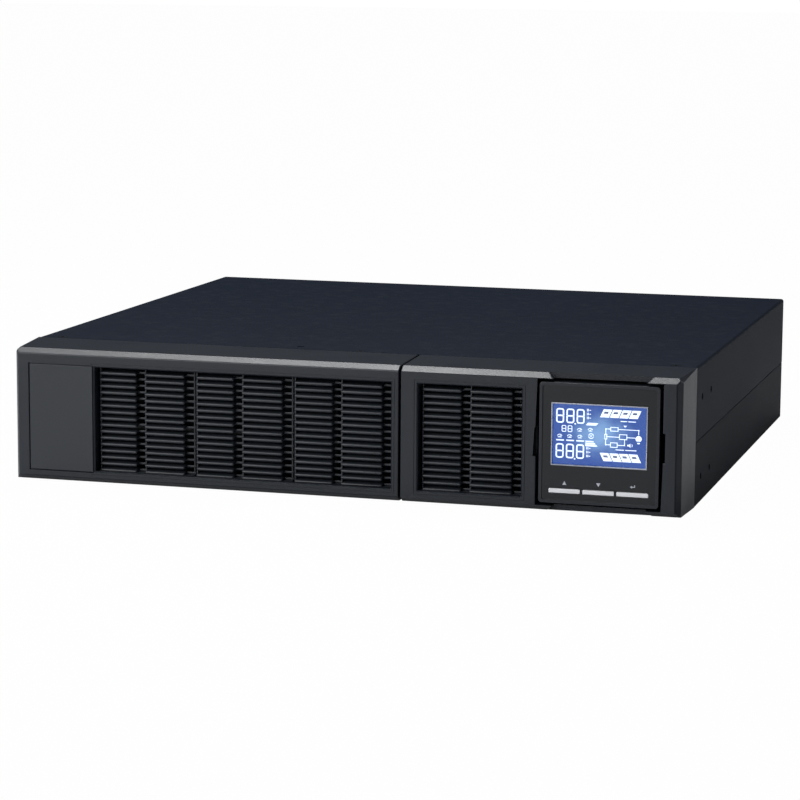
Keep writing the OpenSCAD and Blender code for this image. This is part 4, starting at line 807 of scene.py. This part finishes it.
# seven-segment eight: a corner arc joins a lying and an upright bar at each outer corner
def digitOutlines(x, z, width, height, thick):
    gap, turn = thick * digitLook["gap"], min(width, height / 2) * digitLook["turn"]
    inner = max(turn - thick, digitLook["leastInner"])
    middle = height / 2
    lower, upper = (gap + turn, middle - gap), (middle + gap, height - gap - turn)
    corners = ((0.0, 1, lower, gap + turn, 180), (0.0, 1, upper, height - gap - turn, 90),
               (width, -1, lower, gap + turn, 270), (width, -1, upper, height - gap - turn, 0))
    outlines = []
    for side, inward, (low, high), centre, start in corners:
        inside = side + inward * thick
        outlines.append([(side, low), (inside, low), (inside, high), (side, high)])
        outlines.append(bandOutline(side + inward * turn, centre, inner, turn, start, start + 90,
                                    digitLook["steps"]))
    for row in (gap, height - gap - thick):
        outlines.append(boxOutline(turn, row, width - 2 * turn, thick))
    outlines.append(boxOutline(thick + gap, middle - thick / 2, width - 2 * thick - 2 * gap, thick))
    return [[(x + px, z + pz) for px, pz in outline] for outline in outlines]


def digitRows(look):
    return [outline for i in range(look["count"]) for row in look["rows"]
            for outline in digitOutlines(look["x"] + i * look["pitch"], row, *look["size"], look["thick"])]


# outlines of the meters' blocks, and of the dark marks in them
def meterOutlines(look):
    block, ink = look["block"], look["ink"]
    width, height = block["size"]
    blocks, marks = [], []
    for x, z, slant in look["meters"]:
        for i in range(block["count"]):
            left = x + i * block["pitch"]
            blocks.append(boxOutline(left, z, width, height, slant))
            marks.append(boxOutline(left + slant * ink["up"] + ink["right"], z + height * ink["up"],
                                    *ink["size"], slant * ink["slant"]))
    return blocks, marks


def drawingOutlines(drawing):
    kinds = {"boxes": boxOutline, "bands": bandOutline, "discs": turnPoints}
    outlines = []
    for placeX, placeZ in drawing["places"]:
        for kind, outlineOf in kinds.items():
            outlines += [outlineOf(placeX + x, placeZ + z, *rest) for x, z, *rest in drawing.get(kind, ())]
        outlines += [[(placeX + x, placeZ + z) for x, z in shape] for shape in drawing.get("shapes", ())]
    return outlines


def makeSegments(look, drawings):
    lit, dark = meterOutlines(look)
    lit += digitRows(look["digits"]) + digitRows(look["small"])
    for frameBox in look["frames"]:
        lit += frameOutlines(*frameBox, look["line"])
    lit += [lineOutline(*ends, look["line"]) for ends in look["wires"]]
    for drawing in drawings.values():
        lit += drawingOutlines(drawing)
    body = nodeBody["lcd_glass"]
    front, back = segmentLook["front"], segmentLook["back"]
    surfaces = [plateSurface(outline, windowX, windowZ, front, back) for outline in lit]
    makePiece("displaySegments", surfaces, body, segmentFinish)
    front, back = front - segmentLook["inkProud"], front + segmentLook["inkSunk"]
    surfaces = [plateSurface(outline, windowX, windowZ, front, back) for outline in dark]
    makePiece("displayMeterMarks", surfaces, body, segmentInk)


makeSegments(displayMarks, displayDrawings)

# arrow up, arrow down and the enter arrow, in millimetres from the middle of each
symbolLook = {
    "proud": 0.05, "sunk": 0.1, "rise": 4.9, "plateDepth": 0.6,
    "signs": {
        "button_left": [[(-1.3, -1.1), (1.3, -1.1), (0.0, 1.2)]],
        "button_middle": [[(-1.3, 1.1), (0.0, -1.2), (1.3, 1.1)]],
        "button_right": [[(-1.5, -0.1), (-0.3, -0.95), (-0.3, 0.75)],
                         boxOutline(-0.3, -0.35, 1.9, 0.5), boxOutline(1.1, 0.15, 0.5, 1.0)],
    },
}


# signs printed on the plate, one over each button
def makeSymbols(look):
    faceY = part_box("lcd_frame")[0].y + look["plateDepth"] * mm
    front, back = faceY - look["proud"] * mm, faceY + look["sunk"] * mm
    for name, outlines in look["signs"].items():
        low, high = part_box(name)
        x, z = (low.x + high.x) / 2, (low.z + high.z) / 2 + look["rise"] * mm
        surfaces = [plateSurface(outline, x, z, front, back) for outline in outlines]
        makePiece(name.replace("button_", "symbol_"), surfaces, nodeBody["lcd_frame"],
                  symbolFinish)


makeSymbols(symbolLook)
